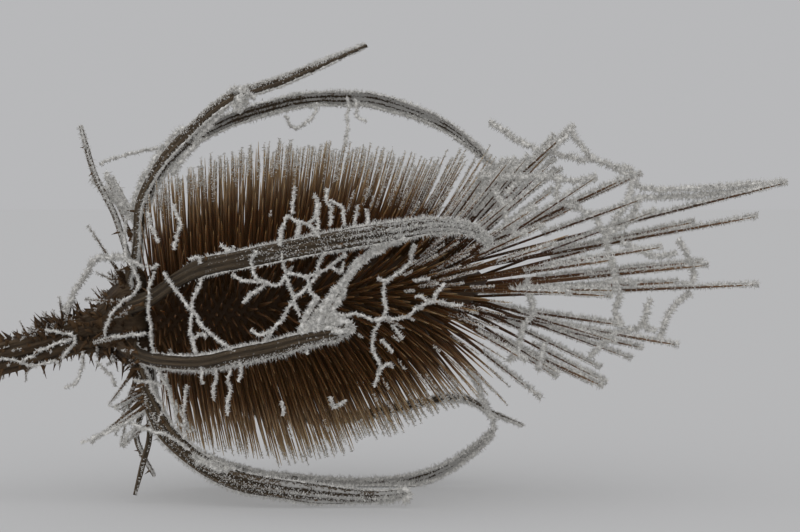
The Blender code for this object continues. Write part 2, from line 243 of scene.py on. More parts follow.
def newMaterial(name, roughness, specular=0.3):
    made = bpy.data.materials.new(name)
    made.use_nodes = True
    tree = made.node_tree
    shader = tree.nodes["Principled BSDF"]
    fill(tree, shader, {"Roughness": roughness, "Specular IOR Level": specular})
    return made, tree, shader


def makeSpineBrown(look):
    # brown from root to tip and from spine to spine, lighter at the tips as painted backlight, brightened
    # by painted fill light on some spines, with rime on the tips
    made, tree, shader = newMaterial("spineBrown", look["roughness"])
    reach = attribute(tree, "reach")
    shade = attribute(tree, "shade")
    grain = addNode(tree, "ShaderNodeGroup",
                    {"Along": addMath(tree, "MULTIPLY", reach, look["grainAlong"]),
                     "Seed": addMath(tree, "MULTIPLY", shade, look["grainSeeds"]),
                     "Dark": (*look["dark"], 1), "Light": (*look["light"], 1)}, node_tree=grainGroup)
    tones = addNode(tree, "ShaderNodeValToRGB", {"Fac": reach})
    tones.color_ramp.elements[0].color = (*look["root"], 1)
    tones.color_ramp.elements[1].color = (*look["tip"], 1)
    tones.color_ramp.elements.new(look["middleAt"]).color = (*look["middle"], 1)
    toned = addMix(tree, 1.0, tones.outputs["Color"], grain.outputs["Color"], "MULTIPLY")
    lit = addScale(tree, toned, addRange(tree, shade, 0, look["shadeMost"], *look["toneAndFill"]))
    rime = addNode(tree, "ShaderNodeGroup",
                   {"Amount": addRange(tree, reach, *look["rimeRun"], 0, look["rime"]),
                    "Grain": look["rimeGrain"]}, node_tree=rimeGroup)
    fill(tree, shader, {"Base Color": addMix(tree, rime.outputs["Mask"], lit, (*look["rimeColour"], 1)),
                        "Subsurface Weight": look["glow"], "Subsurface Scale": look["glowReach"] * mm,
                        "Subsurface Radius": look["glowColour"],
                        "Emission Color": (*look["depthColour"], 1),
                        "Emission Strength": look["depthGlow"]})
    return made


def makePlantMaterial(name, look):
    # bracts, stem and collar: fibre with painted shade in the grooves between nerves and ribs, under a
    # dusting of rime
    made, tree, shader = newMaterial(name, look["roughness"])
    grain = addNode(tree, "ShaderNodeGroup",
                    {"Along": attribute(tree, "alongMm"), "Across": attribute(tree, "across"),
                     "Seed": look["seed"], "Streaks": look["streaks"],
                     "Dark": (*look["dark"], 1), "Light": (*look["light"], 1)}, node_tree=grainGroup)
    rime = addNode(tree, "ShaderNodeGroup",
                   {"Amount": addMath(tree, "MULTIPLY", attribute(tree, "rime"), look["rime"]),
                    "Grain": look["rimeGrain"]}, node_tree=rimeGroup)
    # painted shade: darker where the nerve mark is low, in the grooves between nerves and ribs
    depth = addRange(tree, attribute(tree, "nerve"), 0, 1, look["grooveShade"], 1)
    grooveShaded = addScale(tree, grain.outputs["Color"], depth)
    height = addMath(tree, "ADD", grain.outputs["Height"], rime.outputs["Mask"])
    bump = addNode(tree, "ShaderNodeBump",
                   {"Height": height, "Strength": look["bump"], "Distance": look["bumpDepth"] * mm})
    fill(tree, shader, {"Base Color": addMix(tree, rime.outputs["Mask"], grooveShaded, (*look["rimeColour"], 1)),
                        "Normal": bump.outputs[0]})
    return made


def makeFrost(look):
    made, tree, shader = newMaterial("frost", look["roughness"])
    where = addNode(tree, "ShaderNodeTexCoord", {}).outputs["Object"]
    # grains between the shade and bright colours: painted shade and light for crystals shading one another
    grains = addRange(tree, addNoise(tree, where, look["scale"], 2), *look["contrast"])
    fill(tree, shader, {"Base Color": addMix(tree, grains, (*look["shade"], 1), (*look["bright"], 1)),
                        "Emission Color": (*look["glowColour"], 1), "Emission Strength": look["glow"]})
    return made


spineLook = {
    "dark": (0.55, 0.50, 0.44),
    "light": (1.0, 1.0, 1.0),
    "grainAlong": 9.0,
    "grainSeeds": 90.0,
    "root": (0.052, 0.026, 0.011),
    "middle": (0.072, 0.038, 0.017),
    "middleAt": 0.5,
    # the pale tip colour is painted backlight through the thin tips
    "tip": (0.44, 0.325, 0.21),
    # each spine's brightness is its own tone plus painted fill light on those that face the camera and
    # those under the head
    "toneAndFill": (0.65, 1.95), # brightness of the darkest and the lightest spine
    "shadeMost": 2.0,
    "roughness": 0.6,
    "glow": 0.35,           # light passes through the thin spines
    "glowReach": 1.2,
    "glowColour": (1.0, 0.6, 0.3),
    "depthGlow": 0.0045,    # light scattered between them
    "depthColour": (1.0, 0.52, 0.2),
    "rime": 0.9,
    "rimeRun": (0.75, 1.5), # along the spine, 1 is its tip
    "rimeGrain": 2400.0,
    "rimeColour": (0.55, 0.54, 0.52),
}
bractLook = {
    "dark": (0.042, 0.028, 0.016),
    "light": (0.232, 0.166, 0.100),
    "seed": 3.0,
    "streaks": 12.0,
    # share of the colour left in the grooves, as painted shade
    "grooveShade": 0.35,
    "rime": 2.1,
    "rimeGrain": 4300.0,
    "rimeColour": (0.52, 0.51, 0.49),
    "roughness": 0.75,
    "bump": 0.8,
    "bumpDepth": 0.14,
}
stemLook = {
    "dark": (0.038, 0.021, 0.010),
    "light": (0.118, 0.078, 0.043),
    "seed": 11.0,
    "streaks": 14.0,
    # share of the colour left in the grooves, as painted shade
    "grooveShade": 0.4,
    "rime": 0.45,
    "rimeGrain": 3200.0,
    "rimeColour": (0.42, 0.41, 0.39),
    "roughness": 0.8,
    "bump": 0.8,
    "bumpDepth": 0.15,
}
collarLook = dict(stemLook, dark=(0.036, 0.018, 0.008), light=(0.21, 0.118, 0.052), rime=0.35)
frostLook = {
    "shade": (0.33, 0.32, 0.305),
    "bright": (0.80, 0.785, 0.75),
    "scale": 2600.0,
    "contrast": (0.34, 0.64),
    "roughness": 0.4,
    "glow": 0.075,          # light that the crystals pass on into the shade
    "glowColour": (1.0, 0.985, 0.95),
}
spineBrown = makeSpineBrown(spineLook)
bractBrown = makePlantMaterial("bractBrown", bractLook)
stemBrown = makePlantMaterial("stemBrown", stemLook)
collarBrown = makePlantMaterial("collarBrown", collarLook)
frost = makeFrost(frostLook)
print("materials are made")


# Meshes

def putPiece(name, mesh, finish, slotName, *nodes):
    mesh.materials.append(finish)
    made = bpy.data.objects.new(name, mesh)
    bpy.context.scene.collection.objects.link(made)
    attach(made, "root")
    if nodes:
        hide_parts(*nodes)
    return made


def setMark(mesh, name, values):
    mark = mesh.attributes.new(name, "FLOAT", "POINT")
    mark.data.foreach_set("value", np.asarray(values, np.float32).ravel())


def skinOver(rings, marks):
    # a capped tube cut into as many rings as there are stations, laid onto those stations
    stations, corners = rings.shape[:2]
    bm = bmesh.new()
    bmesh.ops.create_cone(bm, cap_ends=True, segments=corners, radius1=1, radius2=1, depth=1)
    lengthwise = [edge for edge in bm.edges if abs(edge.verts[0].co.z - edge.verts[1].co.z) > 0.5]
    bmesh.ops.subdivide_edges(bm, edges=lengthwise, cuts=stations - 2, use_grid_fill=True)
    found = []
    for vert in bm.verts:
        station = round((vert.co.z + 0.5) * (stations - 1))
        corner = round(math.atan2(vert.co.y, vert.co.x) / math.tau * corners) % corners
        vert.co = rings[station, corner]
        found.append((station, corner))
    bmesh.ops.recalc_face_normals(bm, faces=bm.faces)
    mesh = bpy.data.meshes.new("skin")
    bm.to_mesh(mesh)
    bm.free()
    mesh.shade_smooth()
    where = tuple(np.array(found).T)
    for name, values in marks.items():
        setMark(mesh, name, values[where])
    return mesh


def makePattern(sides, cuts, girth, bend):
    # one small upright point of unit height: a cone or a narrowing blade, to be copied
    bm = bmesh.new()
    bmesh.ops.create_cone(bm, cap_ends=True, segments=sides, radius1=1, radius2=1 if cuts else 0, depth=1,
                          matrix=Matrix.Translation((0, 0, 0.5)))
    for height in cuts:
        bmesh.ops.bisect_plane(bm, geom=bm.verts[:] + bm.edges[:] + bm.faces[:], plane_co=(0, 0, height),
                               plane_no=(0, 0, 1))
    for vert in bm.verts:
        if cuts:
            vert.co.xy *= eased(girth, vert.co.z)
        vert.co.y += bend * vert.co.z ** 2
    bmesh.ops.remove_doubles(bm, verts=bm.verts, dist=1e-4)
    bmesh.ops.triangulate(bm, faces=bm.faces)
    bm.verts.index_update()
    points = np.array([vert.co for vert in bm.verts])
    faces = np.array([[vert.index for vert in face.verts] for face in bm.faces])
    bm.free()
    return points, faces


def turnedAxes(ways, sides):
    # for each way, two directions square to it, the first as near as can be to its side
    across = unit(sides - ways * np.sum(sides * ways, axis=1, keepdims=True))
    return across, np.cross(ways, across)


def stampCopies(pattern, roots, ways, sides, sizes, marks):
    # copies of one pattern, each with its own place, direction and (wide, thick, long) size
    points, faces = pattern
    across, over = turnedAxes(ways, sides)
    turns = np.stack([across * sizes[:, :1], over * sizes[:, 1:2], ways * sizes[:, 2:]], axis=2)
    placed = np.einsum("nij,vj->nvi", turns, points) + roots[:, None, :]
    placed[:, :, 2] = np.maximum(placed[:, :, 2], floorGap * mm)
    linked = faces[None] + len(points) * np.arange(len(roots))[:, None, None]
    mesh = bpy.data.meshes.new("copies")
    mesh.vertices.add(placed.shape[0] * placed.shape[1])
    mesh.vertices.foreach_set("co", placed.astype(np.float32).ravel())
    mesh.loops.add(linked.size)
    mesh.loops.foreach_set("vertex_index", linked.astype(np.int32).ravel())
    mesh.polygons.add(linked.size // 3)
    mesh.polygons.foreach_set("loop_start", np.arange(0, linked.size, 3, dtype=np.int32))
    mesh.update(calc_edges=True)
    for name, values in marks.items():
        setMark(mesh, name, np.broadcast_to(values, (len(roots), len(points))))
    return mesh


# Frost is gathered here by piece, and made once all of it is known: lumpy rods, and crystals on them
crystalPattern = makePattern(3, (), None, 0.12)
crystals = {}
frostRods = {}
rodForm = {
    "spacing": 0.3,
    "wander": 0.25,         # as a share of the radius
    "lumps": 0.35,
    "start": 0.6,           # its first end is thinner
    "crystalsOut": 0.8,     # where crystals stand on it, as a share of the radius
}


def addCrystals(piece, roots, ways, lengths, width):
    crystals.setdefault(piece, []).append((roots, ways, lengths, np.full(len(roots), width * mm)))


def keepUp(roots, ways, lengths):
    # what would reach into the floor points up instead
    below = roots[:, 2] + ways[:, 2] * lengths < tipGap * mm
    ways[below, 2] = np.abs(ways[below, 2])
    return ways


def growCrystals():
    rng = np.random.default_rng(41)
    for name, batches in crystals.items():
        roots, ways, lengths, widths = (np.concatenate(rows) for rows in zip(*batches))
        ways = keepUp(roots, unit(ways), lengths)
        sizes = np.stack([widths, widths * rng.uniform(0.6, 1.0, len(widths)), lengths], axis=1)
        mesh = stampCopies(crystalPattern, roots - ways * widths[:, None] * 0.5, ways,
                           rng.normal(size=roots.shape), sizes, {})
        putPiece(name, mesh, frost, "frost")
        print(name, "has", len(roots), "crystals")


def castRods():
    # every route of a piece becomes a spline of one bevelled curve, and that becomes a mesh
    for name, (sides, routes) in frostRods.items():
        curve = bpy.data.curves.new(name, "CURVE")
        curve.dimensions = "3D"
        curve.bevel_depth = mm
        curve.bevel_resolution = sides
        curve.use_fill_caps = True
        for route, radii in routes:
            spline = curve.splines.new("POLY")
            spline.points.add(len(route) - 1)
            spline.points.foreach_set("co", np.column_stack([route, np.ones(len(route))]).ravel())
            spline.points.foreach_set("radius", radii)
        holder = bpy.data.objects.new(name + "_curve", curve)
        bpy.context.scene.collection.objects.link(holder)
        graph = bpy.context.evaluated_depsgraph_get()
        mesh = bpy.data.meshes.new_from_object(holder.evaluated_get(graph))
        bpy.data.objects.remove(holder, do_unlink=True)
        bm = bmesh.new()
        bm.from_mesh(mesh)
        bmesh.ops.remove_doubles(bm, verts=bm.verts, dist=1e-6)
        bm.to_mesh(mesh)
        bm.free()
        mesh.materials.clear()
        putPiece(name, mesh, frost, "frost")
        print(name, "has", len(routes), "rods")


def addRod(piece, rng, route, radius, spacing=rodForm["spacing"], sides=0, lumps=rodForm["lumps"]):
    route = evenly(route, spacing)
    jitter = rng.normal(0, radius * rodForm["wander"] * mm, route.shape)
    radii = radius * rng.uniform(1 - lumps, 1 + lumps, len(route))
    radii[0] *= rodForm["start"]
    frostRods.setdefault(piece, (sides, []))[1].append((route + jitter, radii))


def frostLine(piece, rng, route, radius, perMm, reach, width, spread=0.45, toward=None, flat=1.0):
    # crystals all round a route, standing out from it, or more to one side
    run = routeRun(route)
    count = int(run[-1] / mm * perMm + rng.uniform())
    if count < 1:
        return
    at = rng.uniform(0, run[-1], count)
    centres = readAlong(route, run, at)
    along = readAlong(routeWays(route), run, at)
    out = rng.normal(size=(count, 3)) * (1, flat, 1)
    if toward is not None:
        out = unit(out) + toward
    out = unit(out - along * np.sum(out * along, axis=1, keepdims=True))
    ways = unit(out + rng.normal(size=(count, 3)) * spread)
    lengths = rng.uniform(*reach, count) * mm
    addCrystals(piece, centres + out * radius * mm, ways, lengths, width)


def frostPoint(rng, root, run, start, look):
    # frost on a thorn, scale or twig, from that share of its length to its tip
    frostLine("prickleFrost", rng, np.array([root + run * start, root + run]), look["radius"],
              look["perMm"], look["reach"], look["width"])


# Bracts. A route's corners are along, out and turn, and root is the turn where it leaves the collar.
# Width is in mm at the root, the middle and the tip, twist in degrees at the middle and the tip.
# Margins and face say how much frost lies on the two margins and the three nerves, cover how that
# changes from root to tip, and rime how thick the dusting is at both ends.
bractShape = {
    "bract_top_front": dict(
        root=34, width=(2.5, 1.8, 0.85), prickles=0, twist=(12, 40),
        margins=((1.1, 1.5), (2.2, 0.7)), face=((0.0, 3.0), (0.0, 2.2), (0.3, 0.3)), rime=(0.1, 0.3),
        cover=(0.65, 0.7), teeth=4, darker=0.6,
        route=((0.8, 10.6, 33), (1.4, 12.8, 33), (2.6, 17.8, 30), (5.9, 22.6, 29), (9.8, 25.6, 25),
               (15.3, 28.2, 17), (22.0, 28.8, 2), (32.9, 33.4, -14))),
    "bract_top_back": dict(
        root=-24, width=(2.4, 2.0, 0.7), prickles=3, twist=(-42, -42),
        margins=(1.7, 1.2), face=(0.9, 0.9, 0.9), rime=(0.4, 0.85), cover=(0.55, 1.0), teeth=4,
        route=((0.6, 13.2, -18), (2.2, 17.1, -14), (5.1, 20.4, -9), (9.1, 22.9, -6), (12.4, 24.3, -6),
               (16.1, 25.4, -7), (23.6, 26.7, -11), (28.8, 26.6, -13), (34.0, 25.9, -16),
               (41.5, 22.6, -21), (46.0, 18.6, -25), (48.5, 14.8, -28), (48.9, 12.6, -29))),
    "bract_front_upper": dict(
        root=70, width=(2.6, 2.3, 1.3), prickles=2,
        margins=(1.35, 1.5), face=(1.0, 1.4, 1.0), rime=(0.06, 0.74), cover=(-0.2, 1.5), teeth=5,
        darker=0.45,
        route=((2.6, 10.2, 70), (6.3, 13.6, 67), (9.8, 17.4, 68), (15.0, 20.5, 70), (22.5, 22.3, 70),
               (28.5, 23.4, 70), (34.6, 22.8, 69), (39.4, 20.8, 67), (43.6, 19.3, 69),
               (45.4, 17.6, 73))),
    "bract_front_lower": dict(
        root=117, width=(2.6, 2.0, 1.4), prickles=0,
        margins=(0.8, 2.5), face=(0.0, 0.15, 1.2), rime=(0.0, 0.4), cover=(0.2, 1.9), teeth=9, darker=0.5,
        route=((1.3, 10.6, 114), (3.8, 13.9, 110), (8.5, 17.7, 107), (12.4, 19.6, 104),
               (17.3, 20.7, 102), (21.0, 21.3, 100), (25.3, 21.2, 99), (27.5, 20.6, 97))),
    "bract_bottom_front": dict(
        root=146, width=(2.6, 2.6, 1.3), prickles=2, twist=(-50, -50),
        margins=(2.1, 1.2), face=(0.0, 1.0, 0.4), rime=(0.05, 0.75), cover=(0.5, 1.7), teeth=9, darker=0.7,
        route=((0.7, 13.1, 148), (2.6, 17.0, 148), (6.4, 20.9, 151), (11.0, 23.5, 153),
               (16.0, 25.0, 154), (21.8, 26.2, 156), (28.0, 26.9, 158), (31.6, 26.9, 158))),
    "bract_bottom_back": dict(
        root=-147, width=(2.6, 2.1, 0.8), prickles=2, twist=(38, 38),
        margins=(1.4, 1.6), face=(1.0, 1.0, 1.0), rime=(0.5, 0.95), cover=(0.6, 1.2), teeth=7,
        route=((-0.9, 11.6, -149), (-0.3, 16.4, -151), (3.5, 21.7, -153), (10.5, 24.8, -157),
               (18.3, 26.8, -158), (25.8, 28.0, -159), (31.4, 28.1, -159), (36.6, 27.0, -158),
               (41.3, 24.2, -158), (43.5, 22.0, -159))),
    "bract_back_lower": dict(
        root=-124, width=(2.6, 1.7, 0.4), prickles=6,
        margins=(0.8, 0.8), face=(0.2, 0.2, 0.2), rime=(0.2, 0.45),
        route=((0.5, 11.0, -126), (4.0, 17.5, -128), (12.0, 23.0, -131), (22.0, 25.0, -134),
               (31.0, 23.4, -136), (39.4, 21.4, -139), (43.4, 21.8, -147), (47.6, 22.8, -154))),
    "bract_back_upper": dict(
        root=-78, width=(2.6, 1.8, 0.5), prickles=6,
        margins=(1.0, 0.9), face=(0.7, 0.7, 0.7), rime=(0.3, 0.6),
        route=((0.5, 11.0, -77), (3.0, 17.0, -77), (9.0, 22.5, -78), (18.0, 25.0, -80),
               (28.0, 24.6, -83), (37.0, 22.0, -86), (43.5, 18.6, -88))),
    "short_bract_top": dict(
        root=11, width=(1.6, 1.2, 0.4), prickles=5,
        margins=(2.2, 2.2), face=(0.2, 0.3, 0.2), rime=(0.1, 0.4), cover=(0.6, 1.2),
        route=((-1.3, 13.9, 12), (-2.2, 17.0, 12), (-3.2, 20.4, 12), (-4.0, 26.3, 11))),
    "short_bract_top_back": dict(
        root=-49, width=(1.6, 1.1, 0.4), prickles=3,
        margins=(1.8, 1.8), face=(0.9, 1.2, 0.9), rime=(0.3, 0.8), cover=(0.6, 1.2),
        route=((0.0, 14.4, -39), (-0.8, 17.2, -36), (-3.0, 22.6, -32))),
    "short_bract_bottom": dict(
        root=168, width=(1.6, 0.95, 0.35), prickles=2,
        margins=(0.3, 0.3), face=(0, 0, 0), rime=(0.0, 0.04),
        route=((-0.3, 14.4, 164), (-1.6, 18.5, 164), (-3.0, 22.2, 165))),
    "short_bract_bottom_back": dict(
        root=-170, width=(1.6, 1.2, 0.5), prickles=5,
        margins=(0.6, 0.6), face=(0.2, 0.2, 0.2), rime=(0.1, 0.4),
        route=((-1.6, 11.5, -169), (-3.0, 15.0, -168), (-2.6, 18.1, -167), (-1.6, 21.2, -166))),
    "short_bract_back": dict(
        root=-102, width=(1.6, 1.1, 0.4), prickles=5,
        margins=(0.8, 0.8), face=(0.4, 0.4, 0.4), rime=(0.2, 0.5),
        route=((-0.2, 11.0, -104), (-1.0, 16.0, -105), (-3.0, 20.5, -106))),
}
bractForm = {
    "rim": ((-0.6, 5.2), (-0.5, 7.15), (-0.45, 8.0)),  # along and out, from inside the collar
    "spacing": 0.55,
    "corners": 36,
    "thickness": 0.75,
    "edge": 0.26,           # thickness at the margins
    "cup": 0.15,            # how far the margins turn in, as a share of the width
    "nerves": 3,            # parallel nerves on the outer side
    "nerveHeight": 0.19,
    "rootRun": 0.14,
    "tipRun": 0.72,
    "uneven": 0.05,
    "tipThickness": ((0, 1), (0.8, 1), (1, 0.6)),
    "twistAt": (0, 0.16, 0.6, 0.75),
    "wave": 7.0,            # degrees
    "streaksAcross": 4,
}
bractFrost = {
    "rod": 0.10,
    "marginCrystals": 50,   # a mm, at full frost
    "nerveCrystals": 44,
    "marginReach": (0.22, 0.72),
    "nerveReach": (0.14, 0.42),
    "width": 0.09,
    "cover": (0.35, 1.25),  # at the root and at the tip, where a bract doesn't say
    "patches": (0.4, 1.2),
    "bare": 0.35,           # cover under which a margin has no rod
    "rodLumps": 0.6,
    "overFloor": 0.25,      # mm
}
bractPrickles = {
    "run": 0.86,            # share of the bract that carries them
    "reach": (0.9, 1.8),
    "girth": 0.32,
    "overFloor": 0.5,       # mm, those that would come lower lie flat
    "toothRun": 0.16,       # dry teeth stand near the root
    "toothReach": (0.8, 2.1),
    "toothGirth": 0.38,
    "toothBackward": (-1.3, -0.3),
    "toothOverFloor": 0.6,
}
thornFrost = {
    "chance": (0.3, 0.55),  # on a bare prickle, and what full rime adds
    "start": (0.3, 0.75),
    "radius": 0.06,
    "perMm": 22,
    "reach": (0.12, 0.38),
    "width": 0.075,
}
twigFrost = {"start": 0.25, "radius": 0.15, "perMm": 30, "reach": (0.15, 0.45), "width": 0.085}
scaleFrost = {"start": 0.45, "radius": 0.12, "perMm": 24, "reach": (0.15, 0.42), "width": 0.085}
pricklePattern = makePattern(6, (0.25, 0.6), ((0, 1), (0.25, 0.5), (0.6, 0.26), (1, 0.03)), 0.1)
prickles = {"roots": [], "ways": [], "sizes": [], "rime": []}
twigDraw = np.random.default_rng(52)


def leafAxes(route, ways):
    # outward and sideways at each station, square to the midline
    axis = np.array(axisWay)
    offset = route - np.array(headPlace)
    radial = unit(offset - np.outer(offset @ axis, axis))
    outward = radial * (ways @ axis)[:, None] - axis * np.sum(ways * radial, axis=1)[:, None]
    sideways = unit(np.cross(ways, outward))
    return np.cross(sideways, ways), sideways


def nerveRise(across):
    return 0.5 + 0.5 * np.cos(across * math.pi * bractForm["nerves"])


def bractFace(width, thick, across):
    # how far outward the outer face lies, in mm
    return (thick * 0.5 * (1 - 0.4 * across ** 2) - bractForm["cup"] * width * across ** 2
            + (nerveRise(across) - 1) * bractForm["nerveHeight"] * width / 2)


def bractSection(width, thick):
    # one closed section as (across, outward, side) rows: the outer face, then back along the inner
    outer = np.linspace(-1, 1, bractForm["corners"] // 2 + 1)[:-1]
    inner = -outer
    wall = bractForm["edge"] + (thick - bractForm["edge"]) * (1 - inner ** 2)
    low = thick * 0.5 * (1 - 0.4 * inner ** 2) - wall - bractForm["cup"] * width * inner ** 2
    across = np.concatenate([outer, inner])
    return across * width / 2, np.concatenate([bractFace(width, thick, outer), low]), across


def makeBract(name, shape):
    rng = np.random.default_rng(sum(map(ord, name)))
    rim = [headPoint(along, out, shape["root"]) for along, out in bractForm["rim"]]
    route = smoothRoute(rim + [headPoint(*corner) for corner in shape["route"]], bractForm["spacing"])
    ways = routeWays(route)
    outward, sideways = leafAxes(route, ways)
    share = np.linspace(0, 1, len(route))
    wave = wavering(rng, share, 9)
    middleTwist, endTwist = shape.get("twist", (0, 0))
    turned = np.interp(share, bractForm["twistAt"], (0, middleTwist, middleTwist, endTwist))
    angle = np.radians(bractForm["wave"] * wave + turned)[:, None]
    outward, sideways = (outward * np.cos(angle) + sideways * np.sin(angle),
                         sideways * np.cos(angle) - outward * np.sin(angle))
    root, middle, tip = shape["width"]
    width = eased(((0, root), (bractForm["rootRun"], middle), (bractForm["tipRun"], middle), (1, tip)),
                  share)
    width = width * (1 + bractForm["uneven"] * wavering(rng, share, 14))
    thick = eased(bractForm["tipThickness"], share) * bractForm["thickness"]
    rings, across, rime, nerve = [], [], [], []
    for k, centre in enumerate(route):
        side, out, mark = bractSection(width[k], thick[k])
        ring = centre + (sideways[k] * side[:, None] + outward[k] * out[:, None]) * mm
        ring[:, 2] = np.maximum(ring[:, 2], floorGap * mm)
        rings.append(ring)
        across.append(mark * bractForm["streaksAcross"])
        # the nerve mark sets the painted shade in the grooves, and darker dims the whole bract
        nerve.append(nerveRise(mark) ** 1.5 * shape.get("darker", 1))
        rime.append(np.interp(share[k], (0, 1), shape["rime"]) * (0.5 + 0.5 * nerveRise(mark)))
    across = np.array(across)
    along = np.broadcast_to((share * len(route) * bractForm["spacing"])[:, None], across.shape)
    mesh = skinOver(np.array(rings), {"alongMm": along, "across": across, "rime": np.array(rime),
                                      "nerve": np.array(nerve)})
    putPiece(name + "_leaf", mesh, bractBrown, "bracts", name)
    frostEdges(shape, rng, route, outward, sideways, width, thick, share)
    setPrickles(shape, rng, route, outward, sideways, width)
    return route, width


def frostEdges(shape, rng, route, outward, sideways, width, thick, share):
    # frost lies along the margins and the nerves, thicker towards the tip
    nerves = bractForm["nerves"]
    step = 2 / nerves
    lines = list(zip((-1, 1), shape["margins"]))
    lines += [(step * (k - nerves // 2), amount) for k, amount in enumerate(shape["face"])]
    start, end = shape.get("cover", bractFrost["cover"])
    for cross, amount in lines:
        edge = abs(cross) == 1
        sunk = bractForm["edge"] * 0.4 if edge else 0.04
        lift = bractFace(width, thick, cross * 0.97) - sunk
        line = route + (sideways * (cross * width / 2)[:, None] + outward * lift[:, None]) * mm
        line[:, 2] = np.maximum(line[:, 2], bractFrost["overFloor"] * mm)
        patches = wavering(rng, share, 24, *bractFrost["patches"])
        amounts = np.interp(share, (0, 1), np.broadcast_to(amount, 2))  # a pair changes from root to tip
        cover = amounts * patches * (start + (end - start) * (share if edge else share ** 1.5))
        if edge:
            coverRods(rng, line, cover)
        frostBand(rng, cross, edge, cover, line, outward, sideways, width * 0.5 * step * 0.42)


def coverRods(rng, line, cover):
    # a lumpy rod on each stretch of a margin that is frosted
    start = 0
    for k in range(1, len(line) + 1):
        if k == len(line) or cover[k] < bractFrost["bare"]:
            if k - start > 3:
                addRod("bractRods", rng, line[start:k], bractFrost["rod"], lumps=bractFrost["rodLumps"])
            start = k + 1


def frostBand(rng, cross, edge, cover, line, outward, sideways, spread):
    # crystals scattered to both sides of a line, as many as its cover asks for
    kind = "margin" if edge else "nerve"
    count = int(len(line) * bractForm["spacing"] * bractFrost[kind + "Crystals"])
    station = rng.uniform(0, len(line) - 1.001, count)
    low = station.astype(int)
    keep = rng.uniform(0.16, 1.15, count) < cover[low]
    station, low = station[keep], low[keep]
    part = (station - low)[:, None]
    across = rng.normal(0, 1, len(low)) * (0.06 if edge else spread[low] * 0.95)
    if edge:
        across -= cross * np.abs(rng.normal(0, 0.36, len(low))) * np.clip(cover[low] - 0.8, 0, 1.4)
    drop = rng.uniform(0, 0.2, len(low)) if edge else np.abs(across) * 0.3
    roots = (line[low] * (1 - part) + line[low + 1] * part
             + (sideways[low] * across[:, None] - outward[low] * drop[:, None]) * mm)
    toward = outward[low] * (0.75 if edge else 1) + sideways[low] * (cross * 1.2 if edge else 0)
    ways = unit(toward) + rng.normal(size=roots.shape) * 0.42
    size = np.minimum(0.65 + 0.45 * cover[low], 1.5)
    lengths = rng.uniform(*bractFrost[kind + "Reach"], len(low)) * size * mm
    addCrystals(kind + "Frost", roots, ways, lengths, bractFrost["width"])


def setPrickles(shape, rng, route, outward, sideways, width):
    for k in range(shape["prickles"]):
        share = (k + rng.uniform(0.3, 0.7)) / shape["prickles"]
        at = int(share * (len(route) * bractPrickles["run"])) + 4
        side = 1 if k % 2 else -1
        way = outward[at] * 0.8 + sideways[at] * side * 0.7 + rng.normal(size=3) * 0.12
        root = route[at] + sideways[at] * side * width[at] * 0.3 * mm
        reach = rng.uniform(*bractPrickles["reach"])
        if root[2] + unit(way)[2] * reach * mm < bractPrickles["overFloor"] * mm:
            way = sideways[at] * side + outward[at] * 0.05
        addPrickle(root, way, reach, bractPrickles["girth"], shape["rime"][0] + 0.3)
    for _ in range(shape.get("teeth", 0)):
        # they point back along the head's axis
        at = rng.integers(2, max(int(len(route) * bractPrickles["toothRun"]), 6))
        side = rng.choice((-1, 1))
        way = np.array(axisWay) * rng.uniform(*bractPrickles["toothBackward"])
        way = way + outward[at] * rng.uniform(0.1, 0.7)
        way = unit(way + sideways[at] * side * rng.uniform(0.1, 0.9))
        root = route[at] + sideways[at] * side * width[at] * 0.25 * mm
        reach = rng.uniform(*bractPrickles["toothReach"])
        if root[2] + way[2] * reach * mm > bractPrickles["toothOverFloor"] * mm:
            addPrickle(root, way, reach, bractPrickles["toothGirth"], rng.uniform(0, 0.6))


def addPrickle(root, way, reach, girth, rime):
    prickles["roots"].append(root)
    prickles["ways"].append(unit(np.array(way, float)))
    prickles["sizes"].append((girth * mm, girth * mm, reach * mm))
    prickles["rime"].append(rime)


bracts = {name: makeBract(name, shape) for name, shape in bractShape.items()}
print("bracts are made")


# Stem and collar
stemShape = {
    "radius": 2.15,
    "route": ((-72.4, -12.25), (-59.0, -9.2), (-45.4, -6.5), (-32.0, -4.3), (-18.8, -2.4), (-12.7, -1.6),
              (-8.2, -0.7), (-5.1, -0.3), (-2.6, 0.0), (1.2, 0.0)),     # along and up
    "flare": ((-9.5, 2.15), (-6.0, 2.8), (-4.0, 3.9), (-2.6, 5.3), (-1.6, 6.3), (0.4, 6.5), (1.2, 5.6)),
    "ribs": 9,
    "ribHeight": 0.17,
    "ribRound": 0.7,        # less makes narrower grooves between them
    "corners": 54,
    "spacing": 0.8,
    "knobbly": 0.06,
    "prickles": 235,
    "prickleRun": (-66.0, -0.8),
    "crowd": 0.42,          # less sets more of them near the collar
    "reach": (0.7, 2.1),
    "overFloor": 0.3,       # mm
}
stemFrost = {
    "turns": (-70, -42, -15, 12, 38, 62, 84, 104, 130, 214, 250),
    "run": 0.955,           # share of the stem that is frosted
    "patches": 3,           # on each line
    "length": (4, 12),      # in stations of the stem's route
    "perMm": 9,
    "reach": (0.15, 0.4),
    "width": 0.08,
}
collarTeeth = (             # where one grows, and how far along and out its tip is from there
    dict(along=-0.4, turn=160, out=10.2, run=(-7.4, 5.0)),
    dict(along=-0.6, turn=165, out=9.4, run=(-3.6, 1.8)),
    dict(along=-1.2, turn=146, out=6.9, run=(-3.6, 4.8)),
    dict(along=-1.2, turn=165, out=6.2, run=(-3.0, 9.6)),
    dict(along=-1.2, turn=199, out=6.0, run=(-4.8, 9.5)),
    dict(along=-1.4, turn=15, out=5.8, run=(-3.5, 7.9)),
    dict(along=-1.4, turn=62, out=6.2, run=(-4.5, 2.6)),
    dict(along=-1.4, turn=100, out=6.2, run=(-4.0, 2.2)),
    dict(along=-1.4, turn=236, out=5.8, run=(-5.0, 4.0)),
    dict(along=-1.4, turn=272, out=5.8, run=(-4.6, 3.6)),
    dict(along=-1.4, turn=318, out=5.8, run=(-4.6, 3.6)),
)
